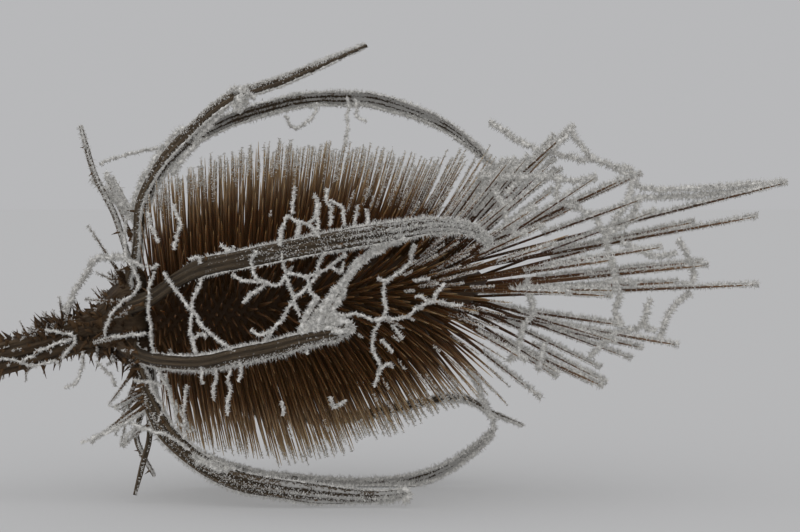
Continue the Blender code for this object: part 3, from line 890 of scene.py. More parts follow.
collarScales = {
    "zones": (dict(count=230, run=(-8.5, 1.2), turns=(0, 360)),
              dict(count=60, run=(-19.5, -7.5), turns=(-75, 50)),
              dict(count=46, run=(-14.0, -9.6), turns=(-55, 55), larger=1.35)),
    "reach": (1.0, 3.3),
    "wide": (0.28, 0.75),
    "thick": 0.16,
    "backward": (-1.5, 0.35),   # lean against the head's axis
    "below": (115, 245),        # turns between which they are shorter
    "shorter": 0.6,
    "overFloor": 1.0,           # mm
    "frosted": 0.3,
}
scaleGirth = ((0, 1), (0.2, 1.05), (0.5, 0.7), (0.8, 0.3), (1, 0.03))
scalePattern = makePattern(4, (0.2, 0.5, 0.8), scaleGirth, 0.22)


def stemCentre(along):
    return headPlace + headTurn @ (Vector((float(eased(stemShape["route"], along)), 0, along)) * mm)


def stemRadius(along):
    flare = stemShape["flare"]
    return float(eased(flare, along)) if along > flare[0][0] else stemShape["radius"]


def makeStem():
    rng = np.random.default_rng(5)
    corners = [headPlace + headTurn @ (Vector((up, 0, along)) * mm) for along, up in stemShape["route"]]
    route = smoothRoute(corners, stemShape["spacing"])
    ways = routeWays(route)
    side = np.array(headTurn @ Vector((0, 1, 0)))
    turns = np.arange(stemShape["corners"]) / stemShape["corners"] * math.tau
    ridge = np.abs(np.cos(turns * stemShape["ribs"] / 2)) ** stemShape["ribRound"]
    lumps = rng.normal(0, stemShape["knobbly"], (len(route), len(turns)))
    lumps = (lumps + np.roll(lumps, 1, 0) + np.roll(lumps, 1, 1)) / 2
    rings, along, rime = [], [], []
    for k, centre in enumerate(route):
        up = np.cross(side, ways[k])
        here = onAxis(Vector(centre))[0]
        reach = stemRadius(here) + stemShape["ribHeight"] * (2 * ridge - 1.2) + lumps[k]
        ring = centre + (np.outer(np.cos(turns) * reach, up) + np.outer(np.sin(turns) * reach, side)) * mm
        ring[:, 2] = np.maximum(ring[:, 2], 0)
        rings.append(ring)
        along.append(np.full(len(turns), here))
        rime.append(0.35 + 0.5 * np.clip(np.cos(turns), 0, 1) + 0.1 * ridge)
    along = np.array(along)
    # the ribs are the nerve mark, so painted shade darkens the grooves between them
    mesh = skinOver(np.array(rings), {"alongMm": along, "across": np.broadcast_to(turns * 1.4, along.shape),
                                      "rime": np.array(rime), "nerve": np.broadcast_to(ridge, along.shape)})
    putPiece("stem_and_collar", mesh, stemBrown, "stem", "stem")
    setStemPrickles(rng)
    setCollarScales(rng)
    frostStem(rng, route)


def frostStem(rng, route):
    # short patches of frost along the stem
    shortest, longest = stemFrost["length"]
    for turn in stemFrost["turns"]:
        way = np.array(headWay(0, 1, turn + rng.uniform(-6, 6)) / mm)
        line = np.array([centre + way * (stemRadius(onAxis(Vector(centre))[0]) + 0.12) * mm
                         for centre in route[1:int(len(route) * stemFrost["run"])]])
        for _ in range(stemFrost["patches"]):
            begin = rng.integers(0, len(line) - longest)
            part = line[begin:begin + rng.integers(shortest, longest)]
            frostLine("stemFrost", rng, part, 0.05, stemFrost["perMm"], stemFrost["reach"],
                      stemFrost["width"], toward=way * 1.4)


def setStemPrickles(rng):
    start, end = stemShape["prickleRun"]
    for k in range(stemShape["prickles"]):
        share = ((k + rng.uniform(0, 1)) / stemShape["prickles"]) ** stemShape["crowd"]
        along = start + (end - start) * share
        out = np.array(headWay(0, 1, goldenTurn * k + rng.uniform(-15, 15)) / mm)
        way = out + np.array(axisWay) * rng.uniform(-0.9, 0.3) + rng.normal(size=3) * 0.15
        root = np.array(stemCentre(along)) + out * (stemRadius(along) - 0.3) * mm
        reach = rng.uniform(*stemShape["reach"]) * (0.7 + 0.7 * share)
        if root[2] + way[2] * reach * mm > stemShape["overFloor"] * mm:
            addPrickle(root, way, reach, 0.3 + 0.14 * share, 0.4 + 0.35 * max(out[2], 0))
    for tooth in collarTeeth:
        along, out = tooth["run"]
        root = headPoint(tooth["along"], tooth["out"], tooth["turn"])
        run = np.array(headPoint(tooth["along"] + along, tooth["out"] + out, tooth["turn"]) - root)
        addPrickle(np.array(root), run, np.linalg.norm(run) / mm, 0.5, 0.7)
        frostPoint(twigDraw, np.array(root), run, twigFrost["start"], twigFrost)


def scalePlaces(rng):
    # each scale's share of its zone, its place along the axis, its turn and its size
    places = []
    for zone in collarScales["zones"]:
        first, last = zone["turns"]
        for k in range(zone["count"]):
            share = (k + rng.uniform(0, 1)) / zone["count"]
            turn = first + (goldenTurn * k + rng.uniform(-12, 12)) % 360 / 360 * (last - first)
            along = np.interp(share ** 0.7, (0, 1), zone["run"])
            places.append((share, along, turn, zone.get("larger", 1)))
    return places


def setCollarScales(rng):
    # dry scales and bract teeth stand out all round the collar
    firstBelow, lastBelow = collarScales["below"]
    rows = []
    for share, along, turn, larger in scalePlaces(rng):
        out = np.array(headWay(0, 1, turn) / mm)
        lean = rng.uniform(*collarScales["backward"])
        way = unit(out + np.array(axisWay) * lean + rng.normal(size=3) * 0.2)
        root = np.array(stemCentre(along)) + out * (min(stemRadius(along), 6.2) - 0.35) * mm
        reach = rng.uniform(*collarScales["reach"]) * (0.6 + 0.5 * share) * larger
        if firstBelow < turn % 360 < lastBelow:
            reach *= collarScales["shorter"]
        if root[2] + way[2] * reach * mm < collarScales["overFloor"] * mm:
            continue
        side = np.array(headWay(0, 1, turn + 90)) + rng.normal(size=3) * 0.4 * mm
        wide = rng.uniform(*collarScales["wide"]) * larger
        rime = rng.uniform(0, 0.6)
        rows.append((root, way, side, (wide * mm, collarScales["thick"] * mm, reach * mm), rime))
        if abs(math.cos(math.radians(turn))) > 0.55 and rng.uniform() < collarScales["frosted"]:
            frostPoint(rng, root, way * reach * mm, scaleFrost["start"], scaleFrost)
    roots, ways, sides, sizes, rime = (np.array(column) for column in zip(*rows))
    height = scalePattern[0][:, 2][None]
    rime = rime[:, None]
    marks = {"alongMm": height * sizes[:, 2:] / mm + rime * 40, "across": 0,
             "rime": rime * (0.3 + 0.9 * height), "nerve": 0.15 + 0.7 * rime}
    mesh = stampCopies(scalePattern, roots, ways, sides, sizes, marks)
    putPiece("collar_scales", mesh, collarBrown, "stem", "stem")


def stampPrickles():
    rng = np.random.default_rng(9)
    roots, ways, sizes, amount = (np.array(prickles[key]) for key in ("roots", "ways", "sizes", "rime"))
    ways = keepUp(roots, ways, sizes[:, 2])
    height = pricklePattern[0][:, 2][None]
    marks = {"alongMm": height * sizes[:, 2:] / mm, "across": 0,
             "rime": amount[:, None] * (0.2 + 0.9 * height), "nerve": 0.7}
    mesh = stampCopies(pricklePattern, roots, ways, rng.normal(size=roots.shape), sizes, marks)
    putPiece("prickles", mesh, collarBrown, "stem", "stem")
    least, more = thornFrost["chance"]
    for root, way, size, rime in zip(roots, ways, sizes, amount):
        if rng.uniform() < least + more * rime:
            frostPoint(rng, root, way * size[2], rng.uniform(*thornFrost["start"]), thornFrost)


makeStem()
print("stem and collar are made")


# Receptacle and spines
spineShape = {
    "core": ((45.0, 0.0), (42.0, 3.4), (37.0, 6.0), (28.0, 8.0), (18.0, 8.5), (10.0, 8.0), (4.0, 6.6),
             (1.3, 5.0), (1.0, 0.0)),
    "coreSteps": 36,
    "count": 2150,
    "first": 2.0,
    "sink": 0.9,
    "length": ((0, 11.4), (5, 11.7), (8, 11.9), (12, 12.3), (16, 12.6), (20, 12.5), (25, 12.1), (30, 11.3),
               (33.5, 11.2), (37, 13.0), (39, 15.6), (41, 19.0), (45, 25.0)),
    "shorterBelow": ((0, 0.12), (10, 0.10), (14, 0.02), (18, 0.03), (24, 0.09), (36, 0.10), (40, 0)),
    "lean": ((0, 3), (10, 6), (20, 12), (30, 22), (37, 35), (41, 50), (43.5, 65), (45, 82)),
    "wobble": 2.2,
    "bodyUneven": 0.085,
    "tuftUneven": 0.22,
    "tuftFrom": 35.0,
    "wide": 0.27,           # half widths at the root
    "thick": 0.19,
    "hollow": dict(along=13.0, turns=(66, 124), share=0.74),
    "clear": 0.35,          # kept free beside a bract
    "shorterTries": (1.0, 0.93, 0.86, 0.79, 0.72, 0.65, 0.58, 0.5, 0.4, 0.3),
    "leanTries": (0, 3, -3, 6, -6, 9, 12),
    "thinning": ((35, 1.0), (38, 0.7), (40, 0.4), (42, 0.22), (45, 0.13)),
    # spines that face the camera get less of the painted backlight on their tips
    "frontTipBacklight": ((26, 0.55), (36, 0.75)),    # spines that face the camera have duller tips
    # painted fill light that lightens the spines facing the camera
    "frontPaintedFill": 0.9,
    "tuftReach": 0.65,
    "looseGirth": 0.12,     # spines are thicker where fewer stand
    "tipGirth": 1.45,
}
# where the tuft's longest spines end: along, out and turn
tuftTips = ((84.8, 7.9, -15), (72.6, 6.0, -49), (80.6, 4.8, -39), (78.7, 5.6, 147), (72.8, 2.5, 126),
            (67.4, 12.0, 155), (63.8, 12.1, -161), (57.3, 15.9, 158), (56.9, 16.5, -159),
            (57.9, 18.3, 9), (66.9, 13.6, -36), (65.0, 9.9, 37), (73.2, 6.2, -103),
            (56.3, 14.2, -25), (63.2, 10.9, 14), (60.5, 8.6, 151), (60.0, 13.0, 85),
            (66.5, 8.5, 78), (70.0, 9.0, 245), (61.0, 14.5, 262), (58.5, 15.5, 300))
spineFrost = {
    "perMm": 15,
    "reach": (0.12, 0.36),
    "radius": 0.09,
    "width": 0.08,
    "length": (1.0, 3.6),   # of the frosted tip
    "sides": (0.3, 0.6),    # sine of the turn, from the frosted outline to the bare front and back
    "lowerRun": (14, 22),
    "lateRun": (23, 38),
    "longerRun": (32, 37),
    "longer": 1.7,
    "nearFrom": 35.5,
    "tuftFrom": 38.5,       # roots past here are the tuft
    "tuftNearTo": 41.5,
    "tuftLuck": (0.97, 0.85),   # share that is frosted towards the camera, and elsewhere
    "tuftStart": (0.28, 0.52),
    "tuftRod": 0.13,
    "tuftPerMm": 40,
    "rootPerMm": 7,
    "tuftReach": (0.22, 0.8),
    "flat": 0.5,            # the feathers of frost stand mostly up and down
}
spineCuts = (0.3, 0.65, 0.9)
spineGirth = ((0, 1.35), (0.3, 0.9), (0.65, 0.55), (0.9, 0.34), (1, 0.12))
tuftGirth = ((0, 0.7), (0.3, 0.7), (0.65, 0.65), (0.9, 0.5), (1, 0.2))
spinePattern = makePattern(4, spineCuts, spineGirth, 0.02)
tuftPattern = makePattern(4, spineCuts, tuftGirth, 0.02)


def coreRadius(along):
    return float(eased(spineShape["core"][:-1][::-1], along))


def makeCore():
    bm = bmesh.new()
    rail = [bm.verts.new(headPoint(along, out, 0)) for along, out in spineShape["core"]]
    edges = [bm.edges.new(pair) for pair in zip(rail, rail[1:])]
    bmesh.ops.spin(bm, geom=rail + edges, cent=headPlace, axis=axisWay, angle=math.tau,
                   steps=spineShape["coreSteps"], use_merge=True)
    bmesh.ops.remove_doubles(bm, verts=bm.verts, dist=0.01 * mm)
    bmesh.ops.recalc_face_normals(bm, faces=bm.faces)
    mesh = bpy.data.meshes.new("receptacle")
    bm.to_mesh(mesh)
    bm.free()
    mesh.shade_smooth()
    count = len(mesh.vertices)
    setMark(mesh, "reach", np.zeros(count))
    setMark(mesh, "shade", np.full(count, 0.3))
    putPiece("receptacle", mesh, spineBrown, "spines", "seed_head")


def keepOff():
    # points along the bracts, each with the room that it needs
    rows = []
    for route, width in bracts.values():
        room = width * 0.5 + spineShape["clear"]
        rows.append(np.column_stack([route[::2], room[::2] * mm]))
    return np.vstack(rows)


def clearTip(root, turn, lean, length, bractRoom):
    # beside a bract a spine leans further, or is a little shorter
    for share in spineShape["shorterTries"]:
        for more in spineShape["leanTries"]:
            angle = math.radians(min(lean + more, 89))
            way = np.array(headWay(math.sin(angle), math.cos(angle), turn)) / mm
            line = root + way * (np.linspace(0.25, 1, 12) * length * share * mm)[:, None]
            apart = np.linalg.norm(line[:, None] - bractRoom[None, :, :3], axis=2)
            if (apart > bractRoom[None, :, 3]).all():
                return line[-1]
    return None


def spineLength(draw, along, turn):
    uneven = spineShape["bodyUneven" if along < spineShape["tuftFrom"] else "tuftUneven"]
    length = float(eased(spineShape["length"], along)) * draw.uniform(1 - uneven, 1 + uneven * 0.5)
    below = 0.5 - 0.5 * math.cos(math.radians(turn))
    length *= 1 - below * float(eased(spineShape["shorterBelow"], along))
    hollow = spineShape["hollow"]
    if along < hollow["along"] and hollow["turns"][0] < turn % 360 < hollow["turns"][1]:
        length *= hollow["share"] * draw.uniform(0.85, 1.1)
    return length


def shareLeft(along, turn):
    # how many spines stand there: fewer towards the tip, and fewer still below and at the sides
    thin = float(eased(spineShape["thinning"], along))
    up = math.cos(math.radians(turn))
    if along > spineShape["tuftFrom"]:
        thin *= 1 - 0.35 * max(0, -up)
    if along > spineFrost["tuftFrom"]:
        thin *= 0.35 + 1.1 * abs(up) - 0.7 * max(0, -up)
    return thin


def spineRows():
    draw = random.Random(7)
    bractRoom = keepOff()
    marks = np.linspace(spineShape["first"], spineShape["core"][0][0] - 0.4, 200)
    area = np.concatenate([[0], np.cumsum([coreRadius(at) + 0.9 for at in marks[1:]])])
    sink = spineShape["sink"]
    rows = []
    for k in range(spineShape["count"]):
        along = float(np.interp((k + 0.5) / spineShape["count"] * area[-1], area, marks))
        turn = k * goldenTurn
        lean = float(eased(spineShape["lean"], along)) + draw.uniform(-1, 1) * spineShape["wobble"]
        length = spineLength(draw, along, turn)
        angle = math.radians(lean)
        root = np.array(headPoint(along - sink * math.sin(angle),
                                  max(coreRadius(along) - sink * math.cos(angle), 0.1), turn))
        thin = shareLeft(along, turn)
        kept = draw.random() < thin
        tip = clearTip(root, turn, lean, length + sink, bractRoom) if kept else None
        if tip is not None:
            rows.append(dict(root=root, tip=tip, along=along, turn=turn % 360, shade=draw.random(),
                             luck=draw.random(), girth=1.0 + spineShape["looseGirth"] * max(0, 1 - thin),
                             tuft=along > spineFrost["tuftFrom"], named=False))
    for along, out, turn in tuftTips:
        fromAlong = 43.2 - 0.28 * out
        root = np.array(headPoint(fromAlong - 1.5, coreRadius(fromAlong) * 0.55, turn))
        rows.append(dict(root=root, tip=np.array(headPoint(along, out, turn)), along=fromAlong,
                         turn=turn % 360, shade=draw.random(), luck=0, girth=spineShape["tipGirth"],
                         tuft=True, named=True))
    return rows


def makeSpines(name, rows, pattern):
    roots, tips, along, turns, toneAndFill, girth, tuft = (
        np.array([row[key] for row in rows])
        for key in ("root", "tip", "along", "turn", "shade", "girth", "tuft"))
    runs = tips - roots
    girth = girth * (1 + 0.3 * (toneAndFill - 0.5))
    sides = np.array([headWay(0, 1, turn + 90) for turn in turns])
    sizes = np.column_stack([girth * spineShape["wide"] * mm, girth * spineShape["thick"] * mm,
                             np.linalg.norm(runs, axis=1)])
    turns = np.radians(turns)
    facing = ramp(np.abs(np.sin(turns)), 0.45, 0.85)
    # painted fill light: spines that face the camera, and those under the head, are made lighter
    toneAndFill = toneAndFill + np.clip(facing * spineShape["frontPaintedFill"] - np.cos(turns) * 0.25, 0, 1)
    # how far each spine runs up its root-to-tip ramp: tuft spines stay darker, and those that face the
    # camera get less painted backlight
    dulled = np.where(tuft, spineShape["tuftReach"],
                      1 - facing * (1 - eased(spineShape["frontTipBacklight"], along)))
    mesh = stampCopies(pattern, roots, unit(runs), sides, sizes,
                       {"reach": pattern[0][:, 2] * dulled[:, None], "shade": toneAndFill[:, None]})
    putPiece(name, mesh, spineBrown, "spines", "seed_head")


def frostTuftSpine(rng, row):
    # a lumpy rod along the upper side, feathers of crystals on it, and finer ones below
    toCamera = max(0, math.sin(math.radians(row["turn"])))
    nearLuck, otherLuck = spineFrost["tuftLuck"]
    if not row["named"] and row["luck"] > (otherLuck if toCamera < 0.4 else nearLuck):
        return
    root, tip = row["root"], row["tip"]
    run = tip - root
    way = run / np.linalg.norm(run)
    over = unit(np.array((0, 0, 1)) - way * way[2])
    near = toCamera if row["along"] < spineFrost["tuftNearTo"] and not row["named"] else 0
    start = rng.uniform(*spineFrost["tuftStart"]) + 0.05 * near
    perMm, reach, width, flat = (spineFrost[key] for key in ("tuftPerMm", "tuftReach", "width", "flat"))
    frostLine("spineFrost", rng, np.linspace(root + run * 0.12, root + run * start, 6),
              spineFrost["radius"], spineFrost["rootPerMm"], spineFrost["reach"], width)
    line = np.linspace(root + run * start, tip + way * 0.4 * mm, 12)
    above = line + over * rng.uniform(0.12, 0.26) * mm
    addRod("tuftRods", rng, above, spineFrost["tuftRod"])
    frostLine("tuftFrost", rng, above, spineFrost["tuftRod"] * rodForm["crystalsOut"],
              perMm * (1 - 0.4 * near), reach, width * 1.1, toward=over * 0.7, flat=flat)
    frostLine("tuftFrost", rng, line - over * 0.12 * mm, 0.08, perMm * 0.4, spineFrost["reach"], width,
              toward=over * -1.0, flat=flat)
    frostLine("tuftFrost", rng, np.linspace(tip - way * 0.5 * mm, tip + way * 0.45 * mm, 3), 0.12,
              perMm * 0.8, reach, width)


def frostBodySpine(rng, row):
    # tips are frosted above and below the head more than before it, and most towards the tuft
    along, angle = row["along"], math.radians(row["turn"])
    upper = 0.5 + 0.5 * math.cos(angle)
    toCamera, away = max(0, math.sin(angle)), max(0, -math.sin(angle))
    lateStart, lateEnd = spineFrost["lateRun"]
    late = max(0, (along - lateStart) / (lateEnd - lateStart))
    edge = 1 - ramp(abs(math.sin(angle)), *spineFrost["sides"])
    lower = (1 - upper) * ramp(along, *spineFrost["lowerRun"])
    chance = (0.03 + edge * (0.3 + 0.48 * upper + 0.45 * lower)
              + late * (0.35 + 0.6 * upper) * (1 - 0.3 * toCamera - 0.5 * away))
    if along > spineFrost["nearFrom"]:
        chance += 0.4 * toCamera
    if row["luck"] > chance:
        return
    frosted = rng.uniform(*spineFrost["length"]) * (0.5 + 0.6 * upper)
    frosted *= 1 + 0.6 * late * (0.35 + 0.65 * upper)
    frosted *= 1 + spineFrost["longer"] * ramp(along, *spineFrost["longerRun"])
    root, tip = row["root"], row["tip"]
    run = tip - root
    length = np.linalg.norm(run)
    line = np.linspace(root + run * max(0.25, 1 - frosted * mm / length), tip + run / length * 0.2 * mm, 5)
    frostLine("spineFrost", rng, line, spineFrost["radius"], spineFrost["perMm"] * (1 + 0.5 * late),
              spineFrost["reach"], spineFrost["width"])


def frostSpines(rows):
    rng = np.random.default_rng(23)
    for row in rows:
        if row["tuft"]:
            frostTuftSpine(rng, row)
        else:
            frostBodySpine(rng, row)


makeCore()
spines = spineRows()
makeSpines("spines", [row for row in spines if not row["named"]], spinePattern)
makeSpines("tuft_spines", [row for row in spines if row["named"]], tuftPattern)
frostSpines(spines)
print(len(spines), "spines are made")


# Frosted silk. Its corners are pixels of the photograph, and each lies on the head's surface
# unless a third number gives how far towards the camera it stands from the axis, in mm.
silkThreads = (
    ((149, 407, 6), (136, 416, 6.5), (122, 426, 7), (105, 434, 7), (92, 439, 7), (82, 443, 7)),
    ((152, 402, 6), (141, 409, 6), (130, 418, 6.3), (118, 426, 6.6), (104, 433, 7), (97, 438, 7)),
    ((134, 381, 5), (146, 382, 6), (158, 384, 8), (165, 391, 9)),
    ((141, 392, 3), (128, 401, 3), (113, 408, 3)),
    ((150, 424, 4), (140, 430, 4), (130, 437, 4), (122, 446, 4)),
    ((150, 383, 8), (156, 396, 8), (164, 410, 8), (160, 424, 8), (168, 436, 8)),
    ((149, 213), (153, 228), (158, 243)),
    ((190, 259, 17), (196, 256, 17), (201, 262, 17)),
    ((222, 247, 20), (229, 249, 20), (233, 245, 20)),
    ((226, 254, 20), (229, 249, 20)),
    ((174, 205), (179, 222), (176, 236), (173, 249)),
    ((125, 218, 6), (125, 240, 6), (126, 258, 7), (139, 286, 8.5), (122, 302, 8), (108, 322, 7),
     (104, 340, 6)),
    ((126, 258, 7), (140, 265, 9), (152, 268, 10.5), (159, 265, 11.5)),
    ((104, 341, 6), (122, 336, 8), (146, 334, 10)),
    ((154, 272, 11), (149, 289, 11), (149, 324, 11), (156, 359, 11), (163, 380, 11), (173, 400, 10),
     (194, 431, 9)),
    ((163, 272, 12), (177, 292, 14.5), (194, 314, 16.5), (215, 338, 18.2), (236, 352, 19.2)),
    ((201, 279, 17.5), (193, 303, 17), (192, 334, 17), (198, 352, 17.5)),
    ((192, 342, 17), (201, 333, 17.3), (208, 336, 17.5)),
    ((231, 275), (243, 280), (264, 284), (278, 285)),
    ((256, 250, 21), (252, 265), (257, 277), (264, 285), (252, 294), (242, 302)),
    ((282, 252, 21), (284, 266), (286, 274), (278, 285)),
    ((286, 274), (302, 275), (317, 275)),
    ((286, 276), (290, 288), (294, 298), (300, 316)),
    ((294, 298), (307, 285), (323, 272), (338, 260), (346, 252, 21.5)),
    ((307, 274), (309, 290), (316, 298)),
    ((317, 275), (319, 262), (326, 246, 22)),
    ((332, 266), (340, 272), (344, 262)),
    ((294, 300), (282, 319), (271, 332), (265, 342, 19.5)),
    ((251, 328), (259, 335), (271, 333)),
    ((326, 316), (345, 316), (365, 317), (383, 318), (398, 318), (410, 315), (421, 307), (435, 300.5),
     (450, 304), (463, 306)),
    ((415, 295), (425, 299), (435, 300.5), (436, 296), (445, 285)),
    ((383, 318), (384, 300), (385, 284), (394, 275), (410, 264), (412, 254), (415, 245, 21)),
    ((377, 279), (388, 281)),
    ((383, 319), (374, 334), (374, 352), (380, 366), (378, 376), (373, 386)),
    ((379, 368), (388, 363), (393, 368)),
    ((278, 244, 21.5), (282, 230), (286, 217), (299, 221), (310, 227), (319, 236, 22)),
    ((299, 221), (297, 237, 22)),
    ((307, 223), (315, 217), (320, 204)),
    ((330, 200), (344, 210), (342, 226)),
    ((293, 186), (294, 214)),
    ((316, 195), (318, 230, 22)),
    ((327, 188), (330, 224)),
    ((357, 208), (354, 228)),
    ((368, 212), (367, 226)),
    ((393, 326), (404, 337)),
    ((381, 339), (392, 351)),
    ((412, 281), (431, 277)),
    ((166, 372, 10), (170, 395, 10), (178, 420, 9), (190, 432, 9)),
    ((186, 386, 13), (186, 405, 13), (184, 440, 11)),
    ((201, 364, 17), (202, 383, 17.2)),
    ((216, 362, 17.8), (215, 381, 17.6), (215, 400, 17.2)),
    ((230, 358, 18.6), (229, 386, 18), (229, 414, 17.2)),
    ((241, 357, 19.2), (241, 371, 19), (240, 382, 18.8)),
    ((304, 344, 20.6), (305, 354, 20.4)),
    ((283, 400), (285, 414)),
    ((330, 396), (333, 410), (345, 402)),
    ((300, 224), (298, 236)),
    ((0, 358, 2), (20, 361, 2.3), (38, 366, 2.4), (52, 362, 2.4), (60, 362, 2)),
    ((20, 361, 2.3), (38, 351, 2.6), (56, 344, 3), (72, 339, 3)),
    ((45, 331, 2.4), (60, 332, 2.6), (75, 337, 3), (70, 348, 3), (62, 358, 2.5)),
    ((82, 352, 2), (83, 368, 2), (76, 383, 2), (64, 387, 2)),
    ((96, 362, 3), (104, 368, 3), (110, 378, 3), (117, 386, 3)),
    ((347, 97, -5), (349, 112, -4), (346, 128, -3), (347, 145, -2)),
    ((355, 100, -5), (356, 116, -4), (366, 122, -4)),
    ((283, 116, 0), (292, 125, -1), (303, 126, -2), (313, 117, -3), (317, 103, -4)),
    ((100, 164, 3), (112, 158, 2), (123, 155, 1), (136, 153, 0), (149, 151, -1), (160, 146, -2)),
    ((124, 422, 6), (136, 425, 7), (150, 430, 8), (165, 435, 9.5), (180, 443, 10.5), (190, 450, 11.5)),
    ((122, 445, 4), (128, 436, 5), (136, 428, 6), (148, 428, 7.5)),
)
thickSilk = (
    ((126, 258, 6), (113, 257, 4), (100, 257, 3), (90, 265, 2), (82, 280, 1), (72, 297, 1), (64, 312, 1)),
    ((231, 98, 7), (238, 91, 7), (244, 95, 6.6), (240, 104, 6.6), (247, 103, 6)),
    ((172, 174, 10.5), (178, 165, 11), (186, 155, 11), (193, 146, 11), (200, 136, 10.5), (207, 127, 10),
     (215, 118, 9.5), (223, 110, 9), (231, 101, 8)),
    ((134, 212, -4), (140, 197, -4), (147, 181, -4), (152, 166, -4)),
    ((105, 174, -5), (114, 191, -5), (124, 208, -4), (130, 220, -3)),
    ((131, 208, -4), (137, 194, -4), (143, 179, -4), (147, 170, -4)),
    ((150, 168, 10), (160, 151, 10), (172, 138, 10), (184, 127, 10)),
    ((90, 178, 3), (97, 184, 3), (106, 190, 3), (116, 200, 2), (126, 213, 1)),
    ((226, 102, 8), (234, 96, 7.6), (240, 99, 7), (235, 107, 7)),
    ((640, 197, 0), (668, 197, -1), (700, 195, -2), (735, 191, -3), (762, 187, -3)),
    ((192, 455, 10.5), (201, 458, 10.5), (212, 464, 10.5), (224, 466, 10.5), (236, 470, 10.5)),
    ((196, 461, 11), (206, 463, 11), (217, 468, 11), (229, 471, 11)),
    ((399, 493, 10.6), (405, 490, 10.6), (409, 495, 10.6), (403, 500, 10.6), (409, 499, 10.6)),
    ((495, 430, -8), (486, 406, -6), (478, 385, -3), (470, 372, 0)),
    ((479, 177, 3), (497, 178, 5), (517, 178, 6), (546, 177, 5), (575, 181, 4), (597, 178, 3)),
    ((488, 121, 0), (502, 130, 1), (517, 139, 1), (532, 147, 2), (546, 152, 2), (561, 142, 3),
     (571, 127, 3)),
    ((546, 152, 2), (575, 158, 2), (593, 160, 2), (617, 168, 1), (636, 178, 0)),
    ((571, 127, 3), (577, 140, 2), (593, 160, 2)),
    ((617, 168, 1), (628, 168, 0), (640, 186, 0), (660, 189, 0), (690, 188, -1), (720, 187, -2),
     (752, 184, -3), (784, 182, -3)),
    ((636, 178, 0), (631, 190, 1), (628, 200, 2), (617, 216, 3), (606, 235, 4)),
    ((606, 235, 4), (608, 250, 4), (611, 262, 4), (616, 280, 4), (620, 295, 4), (615, 311, 4),
     (622, 326, 4)),
    ((575, 206, 5), (585, 212, 5), (593, 218, 4), (606, 235, 4)),
    ((606, 235, 4), (622, 226, 3), (634, 212, 2), (638, 196, 1)),
    ((526, 277, 8), (528, 286, 8), (530, 296, 8), (532, 315, 7), (524, 325, 7), (517, 351, 6),
     (508, 362, 5)),
    ((620, 240, 3), (640, 250, 3), (659, 256, 2), (676, 252, 2)),
    ((676, 240, 2), (690, 260, 1), (692, 282, 1), (682, 284, 1)),
    ((651, 300, 3), (646, 315, 3), (644, 325, 3), (656, 330, 2)),
    ((690, 292, 2), (672, 308, 2), (664, 324, 2), (658, 342, 1)),
    ((588, 356, 3), (601, 345, 4), (615, 335, 4), (633, 329, 3), (644, 325, 3)),
    ((546, 342, 6), (542, 356, 6), (539, 371, 5)),
    ((600, 284, 4), (618, 281, 4), (636, 284, 3)),
    ((493, 190, 6), (503, 205, 8), (509, 222, 9), (517, 236, 10)),
    ((560, 176, 4), (556, 196, 5), (566, 206, 6), (575, 206, 5)),
    ((512, 160, 2), (520, 172, 4), (516, 184, 6), (506, 194, 6)),
)
wideSilk = (
    ((235, 112, 8.6), (236, 104, 8.6), (238, 96, 8.4)),
    ((239, 111, 8.6), (240, 103, 8.6), (242, 95, 8.2)),
    ((229, 91, 8), (237, 88, 8), (246, 91, 8)),
    ((245, 93, 7.6), (251, 96, 7), (256, 93, 7)),
    ((336, 287), (329, 297), (322, 308), (315, 318), (306, 327)),
    ((300, 333), (310, 329), (321, 328), (332, 326), (343, 323)),
    ((338, 322, 21.6), (346, 320, 21.8), (352, 325, 21.6), (350, 332, 21.4)),
    ((334, 330, 21.6), (342, 330, 21.8), (350, 328, 21.8)),
    ((318, 326), (324, 313), (333, 299), (342, 286), (352, 272), (362, 261), (376, 251), (390, 243),
     (402, 238, 21.5)),
    ((311, 330), (317, 316), (326, 303), (335, 291), (345, 278), (354, 267), (366, 256), (380, 247),
     (394, 240, 21.5)),
    ((328, 322), (332, 310), (338, 299), (345, 287)),
    ((304, 334), (312, 326), (322, 322), (334, 320), (342, 323)),
    ((322, 316), (330, 312), (338, 316), (347, 322)),
    ((301, 330), (305, 318), (313, 304), (319, 296)),
)
dryTwigs = (            # root and tip, as pixels and mm towards the camera
    ((152, 402, 6), (97, 438, 7)),
    ((146, 388, 4), (113, 408, 3)),
    ((154, 420, 5), (122, 446, 4)),
    ((131, 242, -3), (152, 162, -4)),
    ((131, 236, -3), (105, 175, -5)),
)
silkShape = {
    "twigGirth": 0.42,
    "spacing": 0.3,
    "wander": 0.12,
    "towards": 18.0,        # first guess of where the head's surface is
    "tipsAhead": 3.5,       # the spines' tips stand further along than their roots
    "furthest": 20.6,
    "lift": 0.5,            # over the spines' tips
}
silkKinds = (
    dict(piece="silk", threads=silkThreads, rod=0.15, spacing=0.25, lumps=0.3, out=0.7, perMm=32,
         reach=(0.2, 0.55), width=0.1),
    dict(piece="thick", threads=thickSilk, rod=0.25, spacing=0.28, lumps=0.35, out=0.7, perMm=57.6,
         reach=(0.3, 0.825), width=0.1),
    dict(piece="thick", threads=wideSilk, rod=0.25, spacing=0.3, lumps=0.45, out=0.8, perMm=51.2,
         reach=(0.26, 0.715), width=0.12),
)


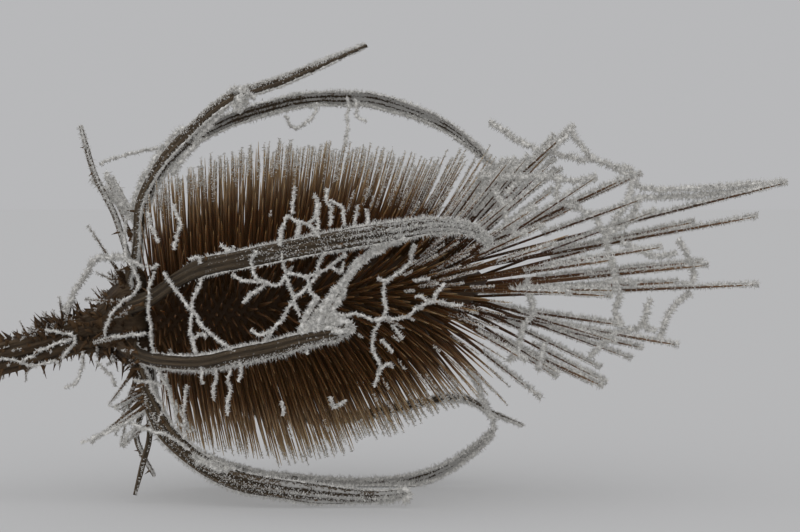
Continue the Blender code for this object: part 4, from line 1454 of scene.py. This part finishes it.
def photoPoint(x, y, towards):
    # where a pixel of the photograph lies, that far towards the camera from the head's axis
    width, height = cameraView["photoSize"]
    focal = cameraView["lens"] / cameraView["sensor"] * width
    right, up = (x - width / 2) / focal, (height / 2 - y) / focal
    rise = math.radians(cameraView["rise"])
    away = cameraView["distance"] - towards * math.cos(rise)
    z = (up * away + towards * math.sin(rise)) / (math.cos(rise) + up * math.sin(rise))
    depth = away - z * math.sin(rise)
    return headPlace + (Vector(cameraView["aim"]) + Vector((right * depth, -towards, z))) * mm


def headEnvelope(along):
    # how far out the spines' tips stand
    angle = np.radians(eased(spineShape["lean"], along))
    return float(coreRadius(along) + eased(spineShape["length"], along) * np.cos(angle))


def silkPoint(corner):
    if len(corner) == 3:
        return photoPoint(*corner)
    towards = silkShape["towards"]
    for _ in range(5):
        along, up, near = onAxis(photoPoint(*corner, towards))
        surface = headEnvelope(max(along - silkShape["tipsAhead"], 1))
        out = min(surface, silkShape["furthest"]) + silkShape["lift"]
        towards = math.sqrt(max(out ** 2 - up ** 2, 1))
    return photoPoint(*corner, towards)


def threadRoute(rng, corners):
    route = smoothRoute([silkPoint(corner) for corner in corners], silkShape["spacing"])
    wander = rng.normal(0, silkShape["wander"] * mm, route.shape)
    for _ in range(3):
        wander[1:-1] = (wander[:-2] + wander[1:-1] + wander[2:]) / 2.4
    return route + wander


def makeSilk():
    rng = np.random.default_rng(77)
    for root, tip in dryTwigs:
        root = np.array(photoPoint(*root))
        run = np.array(photoPoint(*tip)) - root
        addPrickle(root, run, np.linalg.norm(run) / mm, silkShape["twigGirth"], 0.8)
        frostPoint(twigDraw, root, run, twigFrost["start"], twigFrost)
    for kind in silkKinds:
        for corners in kind["threads"]:
            route = threadRoute(rng, corners)
            addRod(kind["piece"] + "Rods", rng, route, kind["rod"], spacing=kind["spacing"], sides=1,
                   lumps=kind["lumps"])
            frostLine(kind["piece"] + "Frost", rng, route, kind["rod"] * kind["out"], kind["perMm"],
                      kind["reach"], kind["width"])


makeSilk()
stampPrickles()
castRods()
growCrystals()
print("frost and silk are made")


# Floor, light and camera
studio = {
    "sky": (0.478, 0.480, 0.490),
    "floor": (0.36, 0.361, 0.366),
    "floorGlow": 0.2153,
    "floorReach": 4.0,             # metres
    "sunStrength": 0.98,
    "sunAngle": 110.0,
    "sunTurn": (38.0, -22.0, 0.0),
}


def makeStudio():
    world = bpy.data.worlds.new("studioSky")
    world.use_nodes = True
    world.node_tree.nodes["Background"].inputs["Color"].default_value = (*studio["sky"], 1)
    bpy.context.scene.world = world
    bm = bmesh.new()
    bmesh.ops.create_circle(bm, cap_ends=True, segments=96, radius=studio["floorReach"])
    mesh = bpy.data.meshes.new("floor")
    bm.to_mesh(mesh)
    bm.free()
    made, tree, shader = newMaterial("floorPale", 0.95)
    shader.inputs["Specular IOR Level"].default_value = 0
    shader.inputs["Base Color"].default_value = (*studio["floor"], 1)
    shader.inputs["Emission Color"].default_value = (1, 1, 1, 1)
    shader.inputs["Emission Strength"].default_value = studio["floorGlow"]
    mesh.materials.append(made)
    floor = bpy.data.objects.new("floor", mesh)
    bpy.context.scene.collection.objects.link(floor)
    light = bpy.data.lights.new("softSun", "SUN")
    light.energy = studio["sunStrength"]
    light.angle = math.radians(studio["sunAngle"])
    lamp = bpy.data.objects.new("softSun", light)
    lamp.rotation_euler = [math.radians(turn) for turn in studio["sunTurn"]]
    bpy.context.scene.collection.objects.link(lamp)


def makeCamera():
    data = bpy.data.cameras.new("camera")
    data.lens = cameraView["lens"]
    data.sensor_width = cameraView["sensor"]
    data.clip_start, data.clip_end = cameraView["clip"]
    made = bpy.data.objects.new("camera", data)
    rise = math.radians(cameraView["rise"])
    back = Vector((0, -math.cos(rise), math.sin(rise))) * cameraView["distance"]
    made.location = headPlace + (Vector(cameraView["aim"]) + back) * mm
    made.rotation_euler = (math.pi / 2 - rise, 0, 0)
    bpy.context.scene.collection.objects.link(made)
    bpy.context.scene.camera = made


makeStudio()
makeCamera()
bpy.context.scene.view_settings.view_transform = "Standard"
print("studio and camera are set")
